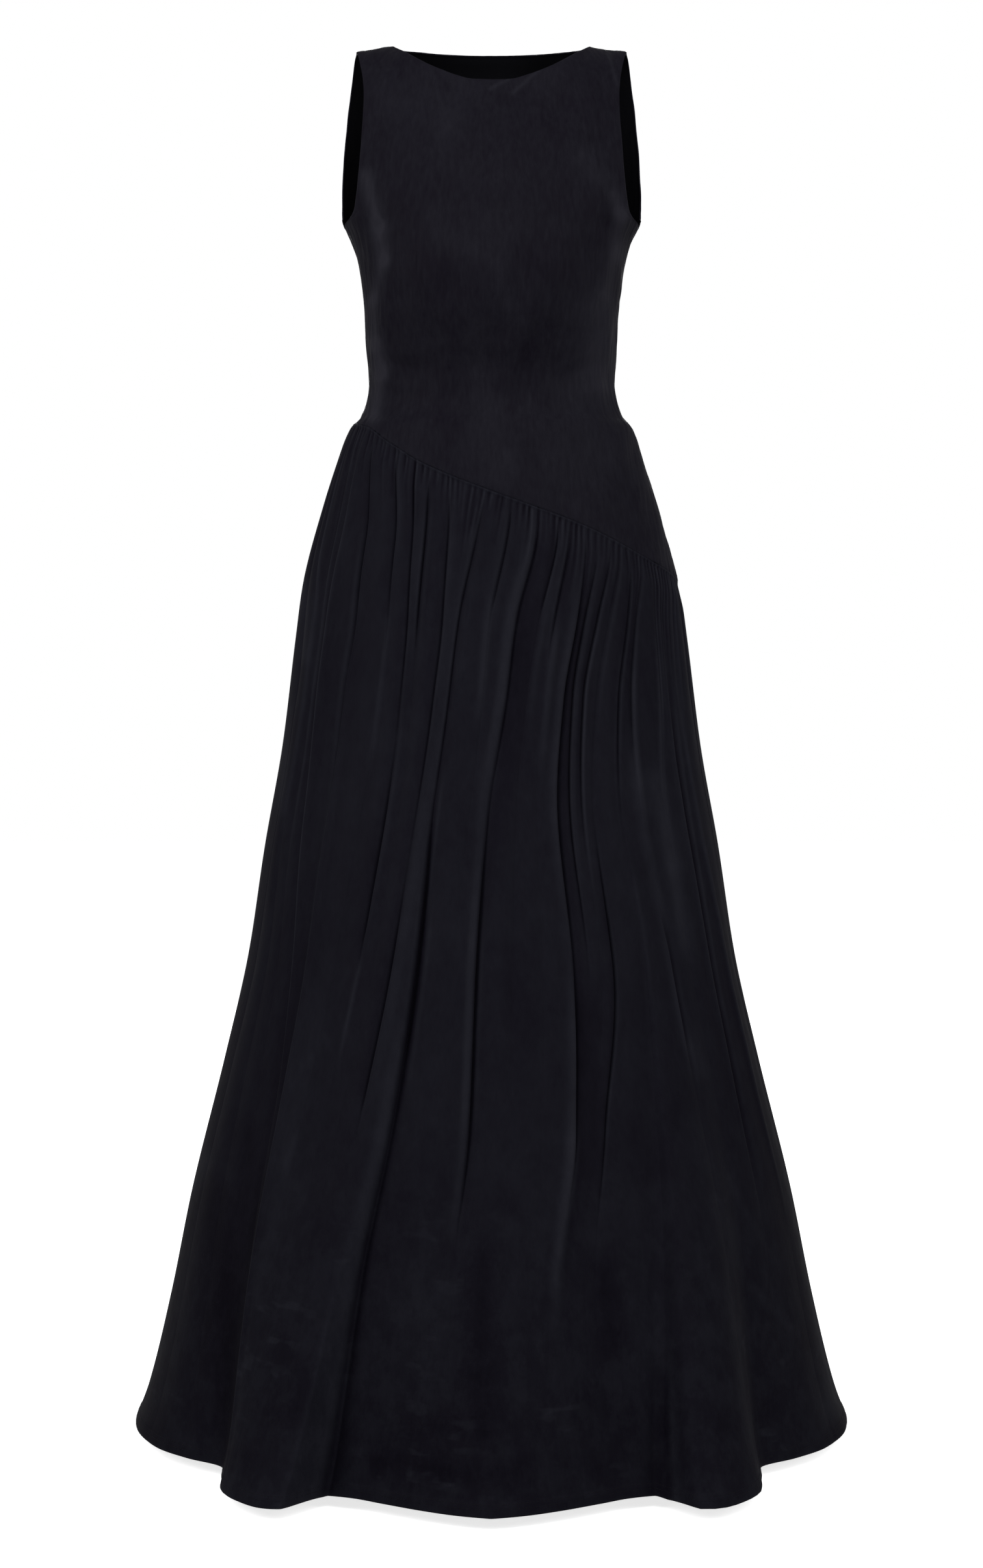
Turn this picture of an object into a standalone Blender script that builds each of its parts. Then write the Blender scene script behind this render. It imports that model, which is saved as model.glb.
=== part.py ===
"""Sleeveless maxi dress: a close bodice with a dropped, diagonal waist seam and a
gathered, flared skirt with a fluted hem. The cloth stands in its worn, hollow form.

Metres, +Z up. The front faces -Y. The origin is midway between the two shoulder
seams, at their inner ends, where a wearer's shoulders hold the dress.
"""
import math

import bpy
import numpy as np

# ---------------------------------------------------------------- sizes
LENGTH = 1.450          # shoulder seam to hem
WALL = 0.0018           # modelled thickness of the jersey
SEAM_GAP = 0.0004       # clearance between two panels at a seam
NECK_HALF = 0.1035      # centre line to the inner end of the shoulder seam
TIP_HALF = 0.1421       # centre line to the outer end of the shoulder seam
TIP_DROP = 0.0049       # fall of the shoulder seam from its inner to its outer end
NECK_RISE = 0.034       # rise of the shoulder arch over the neck opening
ARCH = 0.055            # height over which the shoulder rounds into the chest and back
ARMHOLE_DROP = 0.187    # shoulder to the bottom of the armhole
PUFF = 0.0035           # how far the gathered skirt stands proud below the seam

# Plan sections of the filled-out dress, a row for each height.
# drop below the shoulder, half width, depth in front, depth behind, roundness
SECTIONS = [
    (0.000, 0.1600, 0.060, 0.074, 2.30),
    (0.050, 0.1635, 0.074, 0.089, 2.30),
    (0.100, 0.1655, 0.095, 0.101, 2.30),
    (0.150, 0.1640, 0.113, 0.108, 2.30),
    (0.184, 0.1560, 0.124, 0.110, 2.30),
    (0.200, 0.1478, 0.128, 0.110, 2.30),
    (0.214, 0.1429, 0.131, 0.110, 2.30),
    (0.248, 0.1368, 0.135, 0.108, 2.30),
    (0.282, 0.1335, 0.131, 0.104, 2.28),
    (0.316, 0.1313, 0.120, 0.100, 2.26),
    (0.350, 0.1294, 0.110, 0.098, 2.24),
    (0.367, 0.1316, 0.109, 0.100, 2.22),
    (0.386, 0.1380, 0.112, 0.104, 2.20),
    (0.398, 0.1490, 0.117, 0.109, 2.20),
    (0.425, 0.1582, 0.123, 0.117, 2.18),
    (0.480, 0.1757, 0.133, 0.133, 2.16),
    (0.562, 0.1971, 0.144, 0.150, 2.12),
    (0.617, 0.2048, 0.152, 0.156, 2.10),
    (0.728, 0.2189, 0.172, 0.172, 2.07),
    (0.839, 0.2390, 0.199, 0.195, 2.05),
    (0.950, 0.2564, 0.228, 0.220, 2.03),
    (1.062, 0.2825, 0.259, 0.250, 2.02),
    (1.202, 0.3176, 0.302, 0.292, 2.01),
    (1.314, 0.3404, 0.335, 0.323, 2.00),
    (1.413, 0.3645, 0.362, 0.348, 2.00),
    (1.450, 0.3780, 0.374, 0.358, 2.00),
]

# Neck edges: distance from the centre line, drop of the front edge, drop of the back edge.
NECK = [
    (0.0000, 0.0458, -0.0060),
    (0.0190, 0.0448, -0.0058),
    (0.0365, 0.0402, -0.0055),
    (0.0510, 0.0345, -0.0050),
    (0.0625, 0.0292, -0.0045),
    (0.0740, 0.0222, -0.0038),
    (0.0860, 0.0134, -0.0026),
    (0.0970, 0.0048, -0.0014),
    (0.1035, -0.0010, -0.0010),
]

# Armhole edges: drop, half width of the front panel, half width of the back panel.
ARMHOLE = [
    (0.0039, 0.1421, 0.1421),
    (0.0090, 0.1401, 0.1445),
    (0.0214, 0.1370, 0.1472),
    (0.0394, 0.1338, 0.1501),
    (0.0583, 0.1324, 0.1528),
    (0.0794, 0.1329, 0.1550),
    (0.1016, 0.1343, 0.1573),
    (0.1282, 0.1362, 0.1589),
    (0.1504, 0.1383, 0.1595),
    (0.1690, 0.1406, 0.1590),
    (0.1780, 0.1426, 0.1578),
    (0.1845, 0.1480, 0.1561),
    (0.1870, 0.1547, 0.1547),
]

# The diagonal seam: angle round from the middle of the front, drop below the shoulder.
# The back seam is the same line seen from behind.
SEAM = [
    (-90, 0.391),
    (-60, 0.399),
    (-42, 0.418),
    (-25, 0.4405),
    (0, 0.469),
    (30, 0.502),
    (60, 0.539),
    (90, 0.562),
]

# The hem's plan: angle from the middle of the front, distance from the centre.
# The left and the right half are alike; the back hem has rounder flutes.
HEM_FRONT = [
    (0.0, 0.376),
    (5.0, 0.368),
    (11.0, 0.356),
    (17.0, 0.345),
    (23.0, 0.338),
    (27.3, 0.341),
    (29.8, 0.400),
    (33.0, 0.407),
    (37.0, 0.402),
    (41.3, 0.391),
    (46.6, 0.363),
    (52.7, 0.3385),
    (60.0, 0.353),
    (68.0, 0.368),
    (79.0, 0.377),
    (90.0, 0.380),
]
HEM_BACK = [
    (0.0, 0.342),
    (8.0, 0.352),
    (17.0, 0.378),
    (25.0, 0.380),
    (33.0, 0.350),
    (40.0, 0.334),
    (48.0, 0.352),
    (57.0, 0.384),
    (65.0, 0.388),
    (74.0, 0.372),
    (82.0, 0.374),
    (90.0, 0.380),
]
FLUTE_GROWTH = 4.5      # how fast the hem's flutes die away up the skirt

# Largest folds of each skirt, a row for each: angle at the seam, at 0.75 m and
# 1.10 m below the shoulder and at the hem, height of the lip at 1.10 m, the side on
# which the cloth lies forward (-1 left, +1 right), and the columns up to the next row.
FOLDS = {
    "skirt_front": [
        ("side_left", -90.0, -90.0, -90.0, -90.0, 0.000, 1, 5),
        ("left_edge", -53.0, -45.6, -46.4, -44.2, 0.012, 1, 3),
        ("left_inner", -16.0, -17.5, -26.0, -36.0, 0.005, -1, 3),
        ("main", -2.0, -12.6, -19.5, -28.5, 0.014, -1, 4),
        ("middle", 15.0, 1.2, -4.4, -9.0, 0.010, -1, 4),
        ("right_inner", 30.0, 17.9, 16.6, 11.0, 0.008, 1, 2),
        ("right_double", 40.0, 25.0, 25.0, 28.5, 0.009, 1, 3),
        ("right_flute", 51.0, 43.0, 44.0, 44.2, 0.004, -1, 2),
        ("right_edge", 61.0, 58.4, 60.7, 62.0, 0.008, 1, 4),
        ("side_right", 90.0, 90.0, 90.0, 90.0, 0.000, 1, 0),
    ],
    "skirt_back": [
        ("side_left", -90.0, -90.0, -90.0, -90.0, 0.000, 1, 4),
        ("left_edge", -60.0, -57.0, -58.0, -49.0, 0.008, 1, 4),
        ("left_inner", -38.0, -34.0, -32.0, -30.0, 0.010, -1, 5),
        ("middle", -6.0, -10.0, -12.0, -11.0, 0.012, 1, 5),
        ("right_inner", 16.0, 13.0, 12.0, 15.0, 0.009, -1, 4),
        ("right_double", 36.0, 33.0, 36.0, 40.0, 0.011, 1, 4),
        ("right_edge", 59.0, 54.0, 56.0, 62.0, 0.008, -1, 5),
        ("side_right", 90.0, 90.0, 90.0, 90.0, 0.000, 1, 0),
    ],
}
FOLD_LEVELS = (0.750, 1.100)
CREASE_WIDTH = 2.4      # degrees between the two columns at a crease
SKIRT_ROWS = 15
YOKE_ROWS = 7           # bodice rows from its top edge to the armhole's bottom
BODY_ROWS = 6           # bodice rows from there to the diagonal seam

CLOTH = {
    "bodice_front": ((0.013, 0.012, 0.016), 0.52),
    "bodice_back": ((0.013, 0.012, 0.016), 0.52),
    "skirt_front": ((0.010, 0.011, 0.015), 0.56),
    "skirt_back": ((0.010, 0.011, 0.015), 0.56),
}


# ---------------------------------------------------------------- tables
def smooth_row(table, column, at):
    """Read a table's column at a height or angle, along a curve that never overshoots."""
    xs = [row[0] for row in table]
    ys = [row[column] for row in table]
    if at <= xs[0]:
        return ys[0]
    if at >= xs[-1]:
        return ys[-1]
    i = max(k for k in range(len(xs) - 1) if xs[k] <= at)
    rise = [(ys[k + 1] - ys[k]) / (xs[k + 1] - xs[k]) for k in range(len(xs) - 1)]

    def slope(k):
        if k == 0:
            return rise[0]
        if k == len(xs) - 1:
            return rise[-1]
        a, b = rise[k - 1], rise[k]
        return 0.0 if a * b <= 0 else 2 * a * b / (a + b)

    width = xs[i + 1] - xs[i]
    t = (at - xs[i]) / width
    return (ys[i] * (2 * t ** 3 - 3 * t * t + 1) + slope(i) * width * (t ** 3 - 2 * t * t + t)
            + ys[i + 1] * (3 * t * t - 2 * t ** 3) + slope(i + 1) * width * (t ** 3 - t * t))


def smooth_step(low, high, at):
    t = min(1.0, max(0.0, (at - low) / (high - low)))
    return t * t * (3 - 2 * t)


def seam_drop(angle):
    return smooth_row(SEAM, 1, angle)


def ridge(x):
    """Height of the shoulder line at a distance from the centre line."""
    x = abs(x)
    if x < NECK_HALF:
        return 0.001 + NECK_RISE * (1 - (x / NECK_HALF) ** 2) ** 1.5
    return 0.001 - TIP_DROP * (x - NECK_HALF) / (TIP_HALF - NECK_HALF)


def depth(x, z, side):
    """How far the cloth lies from the plane of the side seams. side: -1 front, 1 back."""
    half = smooth_row(SECTIONS, 1, -z)
    deep = smooth_row(SECTIONS, 2 if side < 0 else 3, -z)
    power = smooth_row(SECTIONS, 4, -z)
    fallen = min(1.0, max(0.0, (ridge(x) - z) / ARCH))
    arch = math.sqrt(1 - (1 - fallen) ** 2)
    return side * deep * arch * max(0.0, 1 - min(1.0, abs(x) / half) ** power) ** (1 / power)


# ---------------------------------------------------------------- bodice
def panel_half(z, side, share):
    """Half width of a bodice panel: its armhole edge above, the side seam below."""
    drop = -z
    if drop >= ARMHOLE_DROP:
        return smooth_row(SECTIONS, 1, drop)
    edge = smooth_row(ARMHOLE, 1 if side < 0 else 2, drop)
    plain = TIP_HALF + (0.1547 - TIP_HALF) * smooth_step(0.0, ARMHOLE_DROP, drop)
    return plain + (edge - plain) * abs(share) ** 5


def neck_edge(x, side):
    return -smooth_row(NECK, 1 if side < 0 else 2, abs(x))


def skirt_angles(name, level):
    """Angles of a skirt's columns at a level from 0 at the seam to 3 at the hem."""
    rows = FOLDS[name]
    low = int(min(2, math.floor(level)))
    part = level - low
    marks = [row[1 + low] * (1 - part) + row[2 + low] * part for row in rows]
    angles = [marks[0]]
    for i in range(len(rows) - 1):
        first = marks[i] + (CREASE_WIDTH / 2 if i else 0.0)
        last = marks[i + 1] - (CREASE_WIDTH / 2 if i < len(rows) - 2 else 0.0)
        if i:
            angles.append(first)
        count = rows[i][7]
        angles += [first + (last - first) * (k + 1) / count for k in range(count)]
    return angles


def bodice(name, skirt, side):
    """Outer points and wall directions of a bodice panel, row by row from its top edge."""
    bottoms = skirt_angles(skirt, 0.0)
    count = len(bottoms)
    rows = YOKE_ROWS + BODY_ROWS
    points = np.zeros((rows + 1, count, 3))
    for c, angle in enumerate(bottoms):
        seam_share = math.sin(math.radians(angle))
        even_share = math.sin(math.radians(-90 + 180 * c / (count - 1)))
        # The column's top lies on the neck edge, or outside it on the shoulder seam.
        x_top = even_share * TIP_HALF
        z_top = ridge(x_top) if abs(x_top) >= NECK_HALF else neck_edge(x_top, side)
        z_end = -seam_drop(angle) + SEAM_GAP / 2
        for r in range(rows + 1):
            if r <= YOKE_ROWS:
                t = r / YOKE_ROWS
                t = 0.1 * t + 0.9 * (0.5 - 0.5 * math.cos(math.pi * t))
                z = z_top + (-ARMHOLE_DROP - z_top) * t
            else:
                z = -ARMHOLE_DROP + (z_end + ARMHOLE_DROP) * (r - YOKE_ROWS) / BODY_ROWS
            blend = smooth_step(0, 1, r / rows)
            share = even_share + (seam_share - even_share) * blend
            if abs(even_share) == 1.0:
                share = even_share
            x = share * panel_half(z, side, share)
            if r == 0:
                x = x_top
            points[r, c] = (x, depth(x, z, side) + side * SEAM_GAP / 2, z)
    fall = np.gradient(points, axis=0)
    across = np.gradient(points, axis=1)
    normals = np.cross(fall, across) * -side
    for c in range(count):
        x = points[0, c][0]
        if abs(x) >= NECK_HALF - 1e-6:
            normals[0, c] = (0, 0, 1)
        normals[-1, c] = body_normal(math.radians(bottoms[c]), -seam_drop(bottoms[c]), side)
        if c in (0, count - 1):
            for r in range(YOKE_ROWS, rows):
                normals[r, c] = body_normal(math.copysign(math.pi / 2, x), points[r, c][2], side)
    normals /= np.linalg.norm(normals, axis=2, keepdims=True)
    return points, normals


# ---------------------------------------------------------------- skirt
def body_point(angle, z, side):
    """A point of the plain filled-out form, at an angle from the middle of the panel."""
    x = math.sin(angle) * smooth_row(SECTIONS, 1, -z)
    return np.array((x, depth(x, z, side) + side * SEAM_GAP / 2, z))


def body_normal(angle, z, side):
    """Outward direction of the plain form, square to the side seams at the sides."""
    step = 0.002
    if abs(abs(angle) - math.pi / 2) < 1e-6:
        wider = (smooth_row(SECTIONS, 1, -z - step) - smooth_row(SECTIONS, 1, -z + step)) / (2 * step)
        out = np.array((math.copysign(1, angle), 0, -wider))
        return out / np.linalg.norm(out)
    across = body_point(angle + 0.01, z, side) - body_point(angle - 0.01, z, side)
    rise = body_point(angle, z + step, side) - body_point(angle, z - step, side)
    out = np.cross(rise, across) * side
    return out / np.linalg.norm(out)


def fold_offset(name, angle, level, radius):
    """How far the largest folds push the cloth out or let it fall in."""
    total = 0.0
    low = int(min(2, math.floor(level)))
    part = level - low
    for row in FOLDS[name][1:-1]:
        mark = row[1 + low] * (1 - part) + row[2 + low] * part
        away = math.radians(angle - mark) * radius * row[6]      # positive on the forward side
        grown = smooth_step(0.1, 2.0, level) * (1 - smooth_step(2.2, 3.0, level))
        if away >= 0:
            total += row[5] * grown * math.exp(-away / 0.030) * smooth_step(-0.006, 0.008, away)
        else:
            total -= row[5] * grown * math.exp(away / 0.022) * (1 - smooth_step(-0.010, 0.006, away))
    return total


def skirt(name, side):
    """Outer points and wall directions of a skirt panel, row by row from the seam."""
    hem = HEM_FRONT if side < 0 else HEM_BACK
    tops = skirt_angles(name, 0.0)
    ends = skirt_angles(name, 3.0)
    points = np.zeros((SKIRT_ROWS + 1, len(tops), 3))
    for r in range(SKIRT_ROWS + 1):
        t = r / SKIRT_ROWS
        t -= 0.11 * math.sin(2 * math.pi * t)
        for c, (top, end) in enumerate(zip(tops, ends)):
            start = seam_drop(top) + SEAM_GAP / 2
            drop = start + (LENGTH - start) * t
            if drop < FOLD_LEVELS[0]:
                level = (drop - start) / (FOLD_LEVELS[0] - start)
            elif drop < FOLD_LEVELS[1]:
                level = 1 + (drop - FOLD_LEVELS[0]) / (FOLD_LEVELS[1] - FOLD_LEVELS[0])
            else:
                level = 2 + (drop - FOLD_LEVELS[1]) / (LENGTH - FOLD_LEVELS[1])
            angle = skirt_angles(name, level)[c]
            point = body_point(math.radians(angle), -drop, side)
            plan = math.hypot(point[0], point[1])
            # The hem's flutes run up the skirt along its folds and die away.
            weight = (max(0.0, drop - 0.45) / (LENGTH - 0.45)) ** FLUTE_GROWTH
            out = (smooth_row(hem, 1, abs(end)) - plan_at_hem(end, side)) * weight
            if c not in (0, len(tops) - 1):
                inside = 1 - smooth_step(62, 88, abs(angle)) * (1 - weight)
                out += fold_offset(name, angle, level, plan) * inside
                out += PUFF * smooth_step(0.0, 0.03, drop - start) * math.cos(math.radians(angle)) ** 0.5
                point[1] += out * point[1] / plan
            point[0] += out * point[0] / plan
            points[r, c] = point
    fall = np.gradient(points, axis=0)
    across = np.gradient(points, axis=1)
    normals = np.cross(fall, across) * -side
    for c, top in enumerate(tops):
        normals[0, c] = body_normal(math.radians(top), -seam_drop(top), side)
    for r in range(1, SKIRT_ROWS + 1):
        for c in (0, len(tops) - 1):
            normals[r, c] = body_normal(math.radians(tops[c]), points[r, c][2], side)
    normals /= np.linalg.norm(normals, axis=2, keepdims=True)
    return points, normals


def plan_at_hem(turn, side):
    """The plain form's distance from the centre at the hem, in a direction."""
    half, deep = SECTIONS[-1][1], SECTIONS[-1][2 if side < 0 else 3]
    a = math.radians(abs(turn))
    return 1 / math.hypot(math.sin(a) / half, math.cos(a) / deep)


# ---------------------------------------------------------------- solids
def cloth_wall(name, points, normals, side, collection):
    """A closed wall of cloth: the outer face, an inner face one thickness in, and the edges."""
    rows, columns = points.shape[:2]
    inner = points - normals * WALL
    verts = np.concatenate([points.reshape(-1, 3), inner.reshape(-1, 3)])
    count = rows * columns
    faces = []
    for r in range(rows - 1):
        for c in range(columns - 1):
            a, b = r * columns + c, r * columns + c + 1
            d, e = a + columns, b + columns
            faces.append((a, d, e, b))
            faces.append((a + count, b + count, e + count, d + count))
    rim = [(0, c) for c in range(columns)] + [(r, columns - 1) for r in range(1, rows)]
    rim += [(rows - 1, c) for c in range(columns - 2, -1, -1)] + [(r, 0) for r in range(rows - 2, 0, -1)]
    for (r0, c0), (r1, c1) in zip(rim, rim[1:] + rim[:1]):
        a, b = r0 * columns + c0, r1 * columns + c1
        faces.append((a, b, b + count, a + count))
    if side > 0:
        faces = [face[::-1] for face in faces]
    mesh = bpy.data.meshes.new(name)
    mesh.from_pydata([tuple(v) for v in verts], [], faces)
    mesh.validate()
    mesh.shade_smooth()
    mesh.set_sharp_from_angle(angle=math.radians(50))
    ob = bpy.data.objects.new(name, mesh)
    collection.objects.link(ob)
    colour, rough = CLOTH[name]
    material = bpy.data.materials.new(name + "_jersey")
    material.use_nodes = True
    shader = material.node_tree.nodes["Principled BSDF"]
    shader.inputs["Base Color"].default_value = (*colour, 1)
    shader.inputs["Roughness"].default_value = rough
    shader.inputs["Metallic"].default_value = 0.0
    mesh.materials.append(material)
    return ob


for ob in list(bpy.data.objects):
    bpy.data.objects.remove(ob, do_unlink=True)
dress = bpy.data.collections.new("maxi_dress")
bpy.context.scene.collection.children.link(dress)
shoulders = bpy.data.objects.new("shoulders", None)
dress.objects.link(shoulders)

for title, skirt_name, facing in (("bodice_front", "skirt_front", -1), ("bodice_back", "skirt_back", 1)):
    for node, (pts, nrm) in ((title, bodice(title, skirt_name, facing)),
                             (skirt_name, skirt(skirt_name, facing))):
        cloth_wall(node, pts, nrm, facing, dress).parent = shoulders
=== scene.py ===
import math

import bpy
import numpy as np
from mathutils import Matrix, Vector


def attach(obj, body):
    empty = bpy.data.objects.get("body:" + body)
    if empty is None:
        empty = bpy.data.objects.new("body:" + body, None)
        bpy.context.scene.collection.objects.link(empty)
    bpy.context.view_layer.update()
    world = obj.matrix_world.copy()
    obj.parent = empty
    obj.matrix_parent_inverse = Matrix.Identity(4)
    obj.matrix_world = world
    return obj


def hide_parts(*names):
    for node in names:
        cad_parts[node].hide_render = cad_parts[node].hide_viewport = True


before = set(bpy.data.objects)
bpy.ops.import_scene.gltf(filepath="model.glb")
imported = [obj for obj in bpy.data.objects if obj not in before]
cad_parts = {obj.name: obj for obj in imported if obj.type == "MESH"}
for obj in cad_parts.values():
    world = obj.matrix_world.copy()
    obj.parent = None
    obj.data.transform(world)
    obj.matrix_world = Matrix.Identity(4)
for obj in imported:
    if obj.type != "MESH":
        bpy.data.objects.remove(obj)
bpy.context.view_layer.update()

RNG = np.random.default_rng(11)

# ================================================================= sizes of the dress
LENGTH = 1.450          # shoulder seam to hem
CLOTH = 0.0015          # thickness of the jersey shells
NECK_HALF = 0.1035
TIP_HALF = 0.1421
TIP_DROP = 0.0049
NECK_RISE = 0.034
ARCH = 0.055
ARMHOLE_DROP = 0.187
PUFF = 0.0035

# drop below the shoulder, half width, depth in front, depth behind, roundness
SECTIONS = np.array([
    (0.000, 0.1600, 0.060, 0.074, 2.30),
    (0.050, 0.1635, 0.074, 0.089, 2.30),
    (0.100, 0.1655, 0.095, 0.101, 2.30),
    (0.150, 0.1640, 0.113, 0.108, 2.30),
    (0.184, 0.1560, 0.124, 0.110, 2.30),
    (0.200, 0.1478, 0.128, 0.110, 2.30),
    (0.214, 0.1429, 0.131, 0.110, 2.30),
    (0.248, 0.1368, 0.135, 0.108, 2.30),
    (0.282, 0.1335, 0.131, 0.104, 2.28),
    (0.316, 0.1313, 0.120, 0.100, 2.26),
    (0.350, 0.1294, 0.110, 0.098, 2.24),
    (0.367, 0.1316, 0.109, 0.100, 2.22),
    (0.386, 0.1380, 0.112, 0.104, 2.20),
    (0.398, 0.1490, 0.117, 0.109, 2.20),
    (0.425, 0.1582, 0.123, 0.117, 2.18),
    (0.480, 0.1757, 0.133, 0.133, 2.16),
    (0.562, 0.1971, 0.144, 0.150, 2.12),
    (0.617, 0.2048, 0.152, 0.156, 2.10),
    (0.728, 0.2189, 0.172, 0.172, 2.07),
    (0.839, 0.2390, 0.199, 0.195, 2.05),
    (0.950, 0.2564, 0.228, 0.220, 2.03),
    (1.062, 0.2825, 0.259, 0.250, 2.02),
    (1.202, 0.3176, 0.302, 0.292, 2.01),
    (1.314, 0.3404, 0.335, 0.323, 2.00),
    (1.413, 0.3645, 0.362, 0.348, 2.00),
    (1.450, 0.3780, 0.374, 0.358, 2.00),
])
# distance from the centre line, drop of the front neck edge, drop of the back neck edge
NECK = np.array([
    (0.0000, 0.0458, -0.0060),
    (0.0190, 0.0448, -0.0058),
    (0.0365, 0.0402, -0.0055),
    (0.0510, 0.0345, -0.0050),
    (0.0625, 0.0292, -0.0045),
    (0.0740, 0.0222, -0.0038),
    (0.0860, 0.0134, -0.0026),
    (0.0970, 0.0048, -0.0014),
    (0.1035, -0.0010, -0.0010),
])
# drop, half width of the front panel's armhole edge, of the back panel's
ARMHOLE = np.array([
    (0.0039, 0.1421, 0.1421),
    (0.0090, 0.1401, 0.1445),
    (0.0214, 0.1370, 0.1472),
    (0.0394, 0.1338, 0.1501),
    (0.0583, 0.1324, 0.1528),
    (0.0794, 0.1329, 0.1550),
    (0.1016, 0.1343, 0.1573),
    (0.1282, 0.1362, 0.1589),
    (0.1504, 0.1383, 0.1595),
    (0.1690, 0.1406, 0.1590),
    (0.1780, 0.1426, 0.1578),
    (0.1845, 0.1480, 0.1561),
    (0.1870, 0.1547, 0.1547),
])
# angle round from the middle of the panel, drop of the diagonal seam
SEAM = np.array([
    (-90, 0.391),
    (-60, 0.399),
    (-42, 0.418),
    (-25, 0.4405),
    (0, 0.469),
    (30, 0.502),
    (60, 0.539),
    (90, 0.562),
])
# angle from the middle of the panel, distance of the hem from the centre
HEM = {
    -1: np.array([
        (0.0, 0.376), (5.0, 0.368), (11.0, 0.356), (17.0, 0.345), (23.0, 0.338), (27.3, 0.341),
        (29.8, 0.400), (33.0, 0.407), (37.0, 0.402), (41.3, 0.391), (46.6, 0.363), (52.7, 0.3385),
        (60.0, 0.353), (68.0, 0.368), (79.0, 0.377), (90.0, 0.380),
    ]),
    1: np.array([
        (0.0, 0.342), (8.0, 0.352), (17.0, 0.378), (25.0, 0.380), (33.0, 0.350), (40.0, 0.334),
        (48.0, 0.352), (57.0, 0.384), (65.0, 0.388), (74.0, 0.372), (82.0, 0.374), (90.0, 0.380),
    ]),
}
FLUTE_GROWTH = 4.5

# ================================================================= folds of the skirt
# Where each fold line runs: its angle round the panel at nine heights (drop in metres).
LINE_DROPS = ("seam", 0.52, 0.60, 0.68, 0.80, 0.95, 1.10, 1.25, 1.45)
FRONT_LINES = {
    #              seam   .52    .60    .68    .80    .95    1.10   1.25   1.45
    "side_left":   (-90.0, -90.0, -90.0, -90.0, -90.0, -90.0, -90.0, -90.0, -90.0),
    "hip_a":       (-81.0, -75.0, -72.0, -70.0, -69.6, -71.0, -72.0, -72.0, -72.0),
    "hip_b":       (-74.0, -68.5, -62.8, -63.2, -65.0, -63.5, -63.0, -62.0, -62.0),
    "hip_c":       (-66.5, -59.4, -58.9, -60.0, -60.3, -58.3, -56.5, -56.0, -56.0),
    "left_ridge":  (-60.0, -55.0, -56.0, -57.1, -55.2, -52.1, -49.6, -49.8, -50.0),
    "left_edge":   (-52.0, -42.8, -42.4, -44.6, -45.3, -46.2, -46.4, -46.4, -43.6),
    "left_2":      (-37.5, -31.2, -30.8, -32.0, -34.5, -37.5, -39.5, -40.5, -40.2),
    "left_3":      (-28.5, -25.1, -24.5, -25.3, -27.1, -30.9, -34.0, -36.0, -37.5),
    "left_4":      (-22.0, -20.9, -21.4, -22.0, -23.6, -27.2, -30.4, -32.5, -34.6),
    "left_5":      (-14.5, -13.4, -13.9, -15.8, -18.9, -22.6, -26.1, -29.0, -31.6),
    "main":        (-1.6, -4.8, -9.3, -11.6, -14.8, -17.3, -20.0, -24.2, -27.8),
    "middle_1":    (7.0, 4.6, -0.3, -2.2, -5.5, -8.5, -10.5, -12.0, -14.0),
    "middle_2":    (15.5, 13.7, 7.1, 4.0, -1.0, -3.6, -4.4, -6.5, -6.5),
    "middle_3":    (22.3, 20.6, 13.6, 9.5, 6.0, 4.6, 3.5, 2.0, 2.0),
    "middle_4":    (26.5, 24.6, 18.1, 14.2, 11.2, 11.4, 9.6, 7.5, 7.0),
    "right_1":     (31.5, 30.0, 25.3, 20.0, 16.6, 18.5, 16.6, 12.0, 11.5),
    "right_2":     (36.5, 34.2, 27.5, 22.4, 19.8, 22.0, 18.6, 14.4, 14.5),
    "right_3":     (41.0, 38.9, 31.6, 25.5, 22.9, 25.0, 20.5, 16.4, 17.5),
    "right_4":     (44.5, 42.4, 35.6, 29.6, 26.0, 28.5, 22.9, 18.6, 21.0),
    "right_5":     (48.0, 46.2, 42.8, 37.0, 33.9, 36.4, 34.0, 31.5, 28.2),
    "right_6":     (53.5, 52.4, 46.0, 41.2, 39.4, 44.6, 45.6, 46.0, 45.0),
    "right_7":     (59.5, 58.4, 55.6, 54.0, 50.0, 52.0, 53.0, 53.5, 53.5),
    "right_edge":  (66.0, 64.4, 60.0, 58.3, 57.5, 60.1, 60.7, 61.0, 61.5),
    "right_ridge": (73.0, 71.5, 67.0, 64.4, 63.6, 68.2, 69.6, 72.0, 72.0),
    "hip_d":       (81.0, 80.0, 77.0, 75.5, 74.0, 77.5, 79.0, 81.5, 82.0),
    "side_right":  (90.0, 90.0, 90.0, 90.0, 90.0, 90.0, 90.0, 90.0, 90.0),
}
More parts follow.
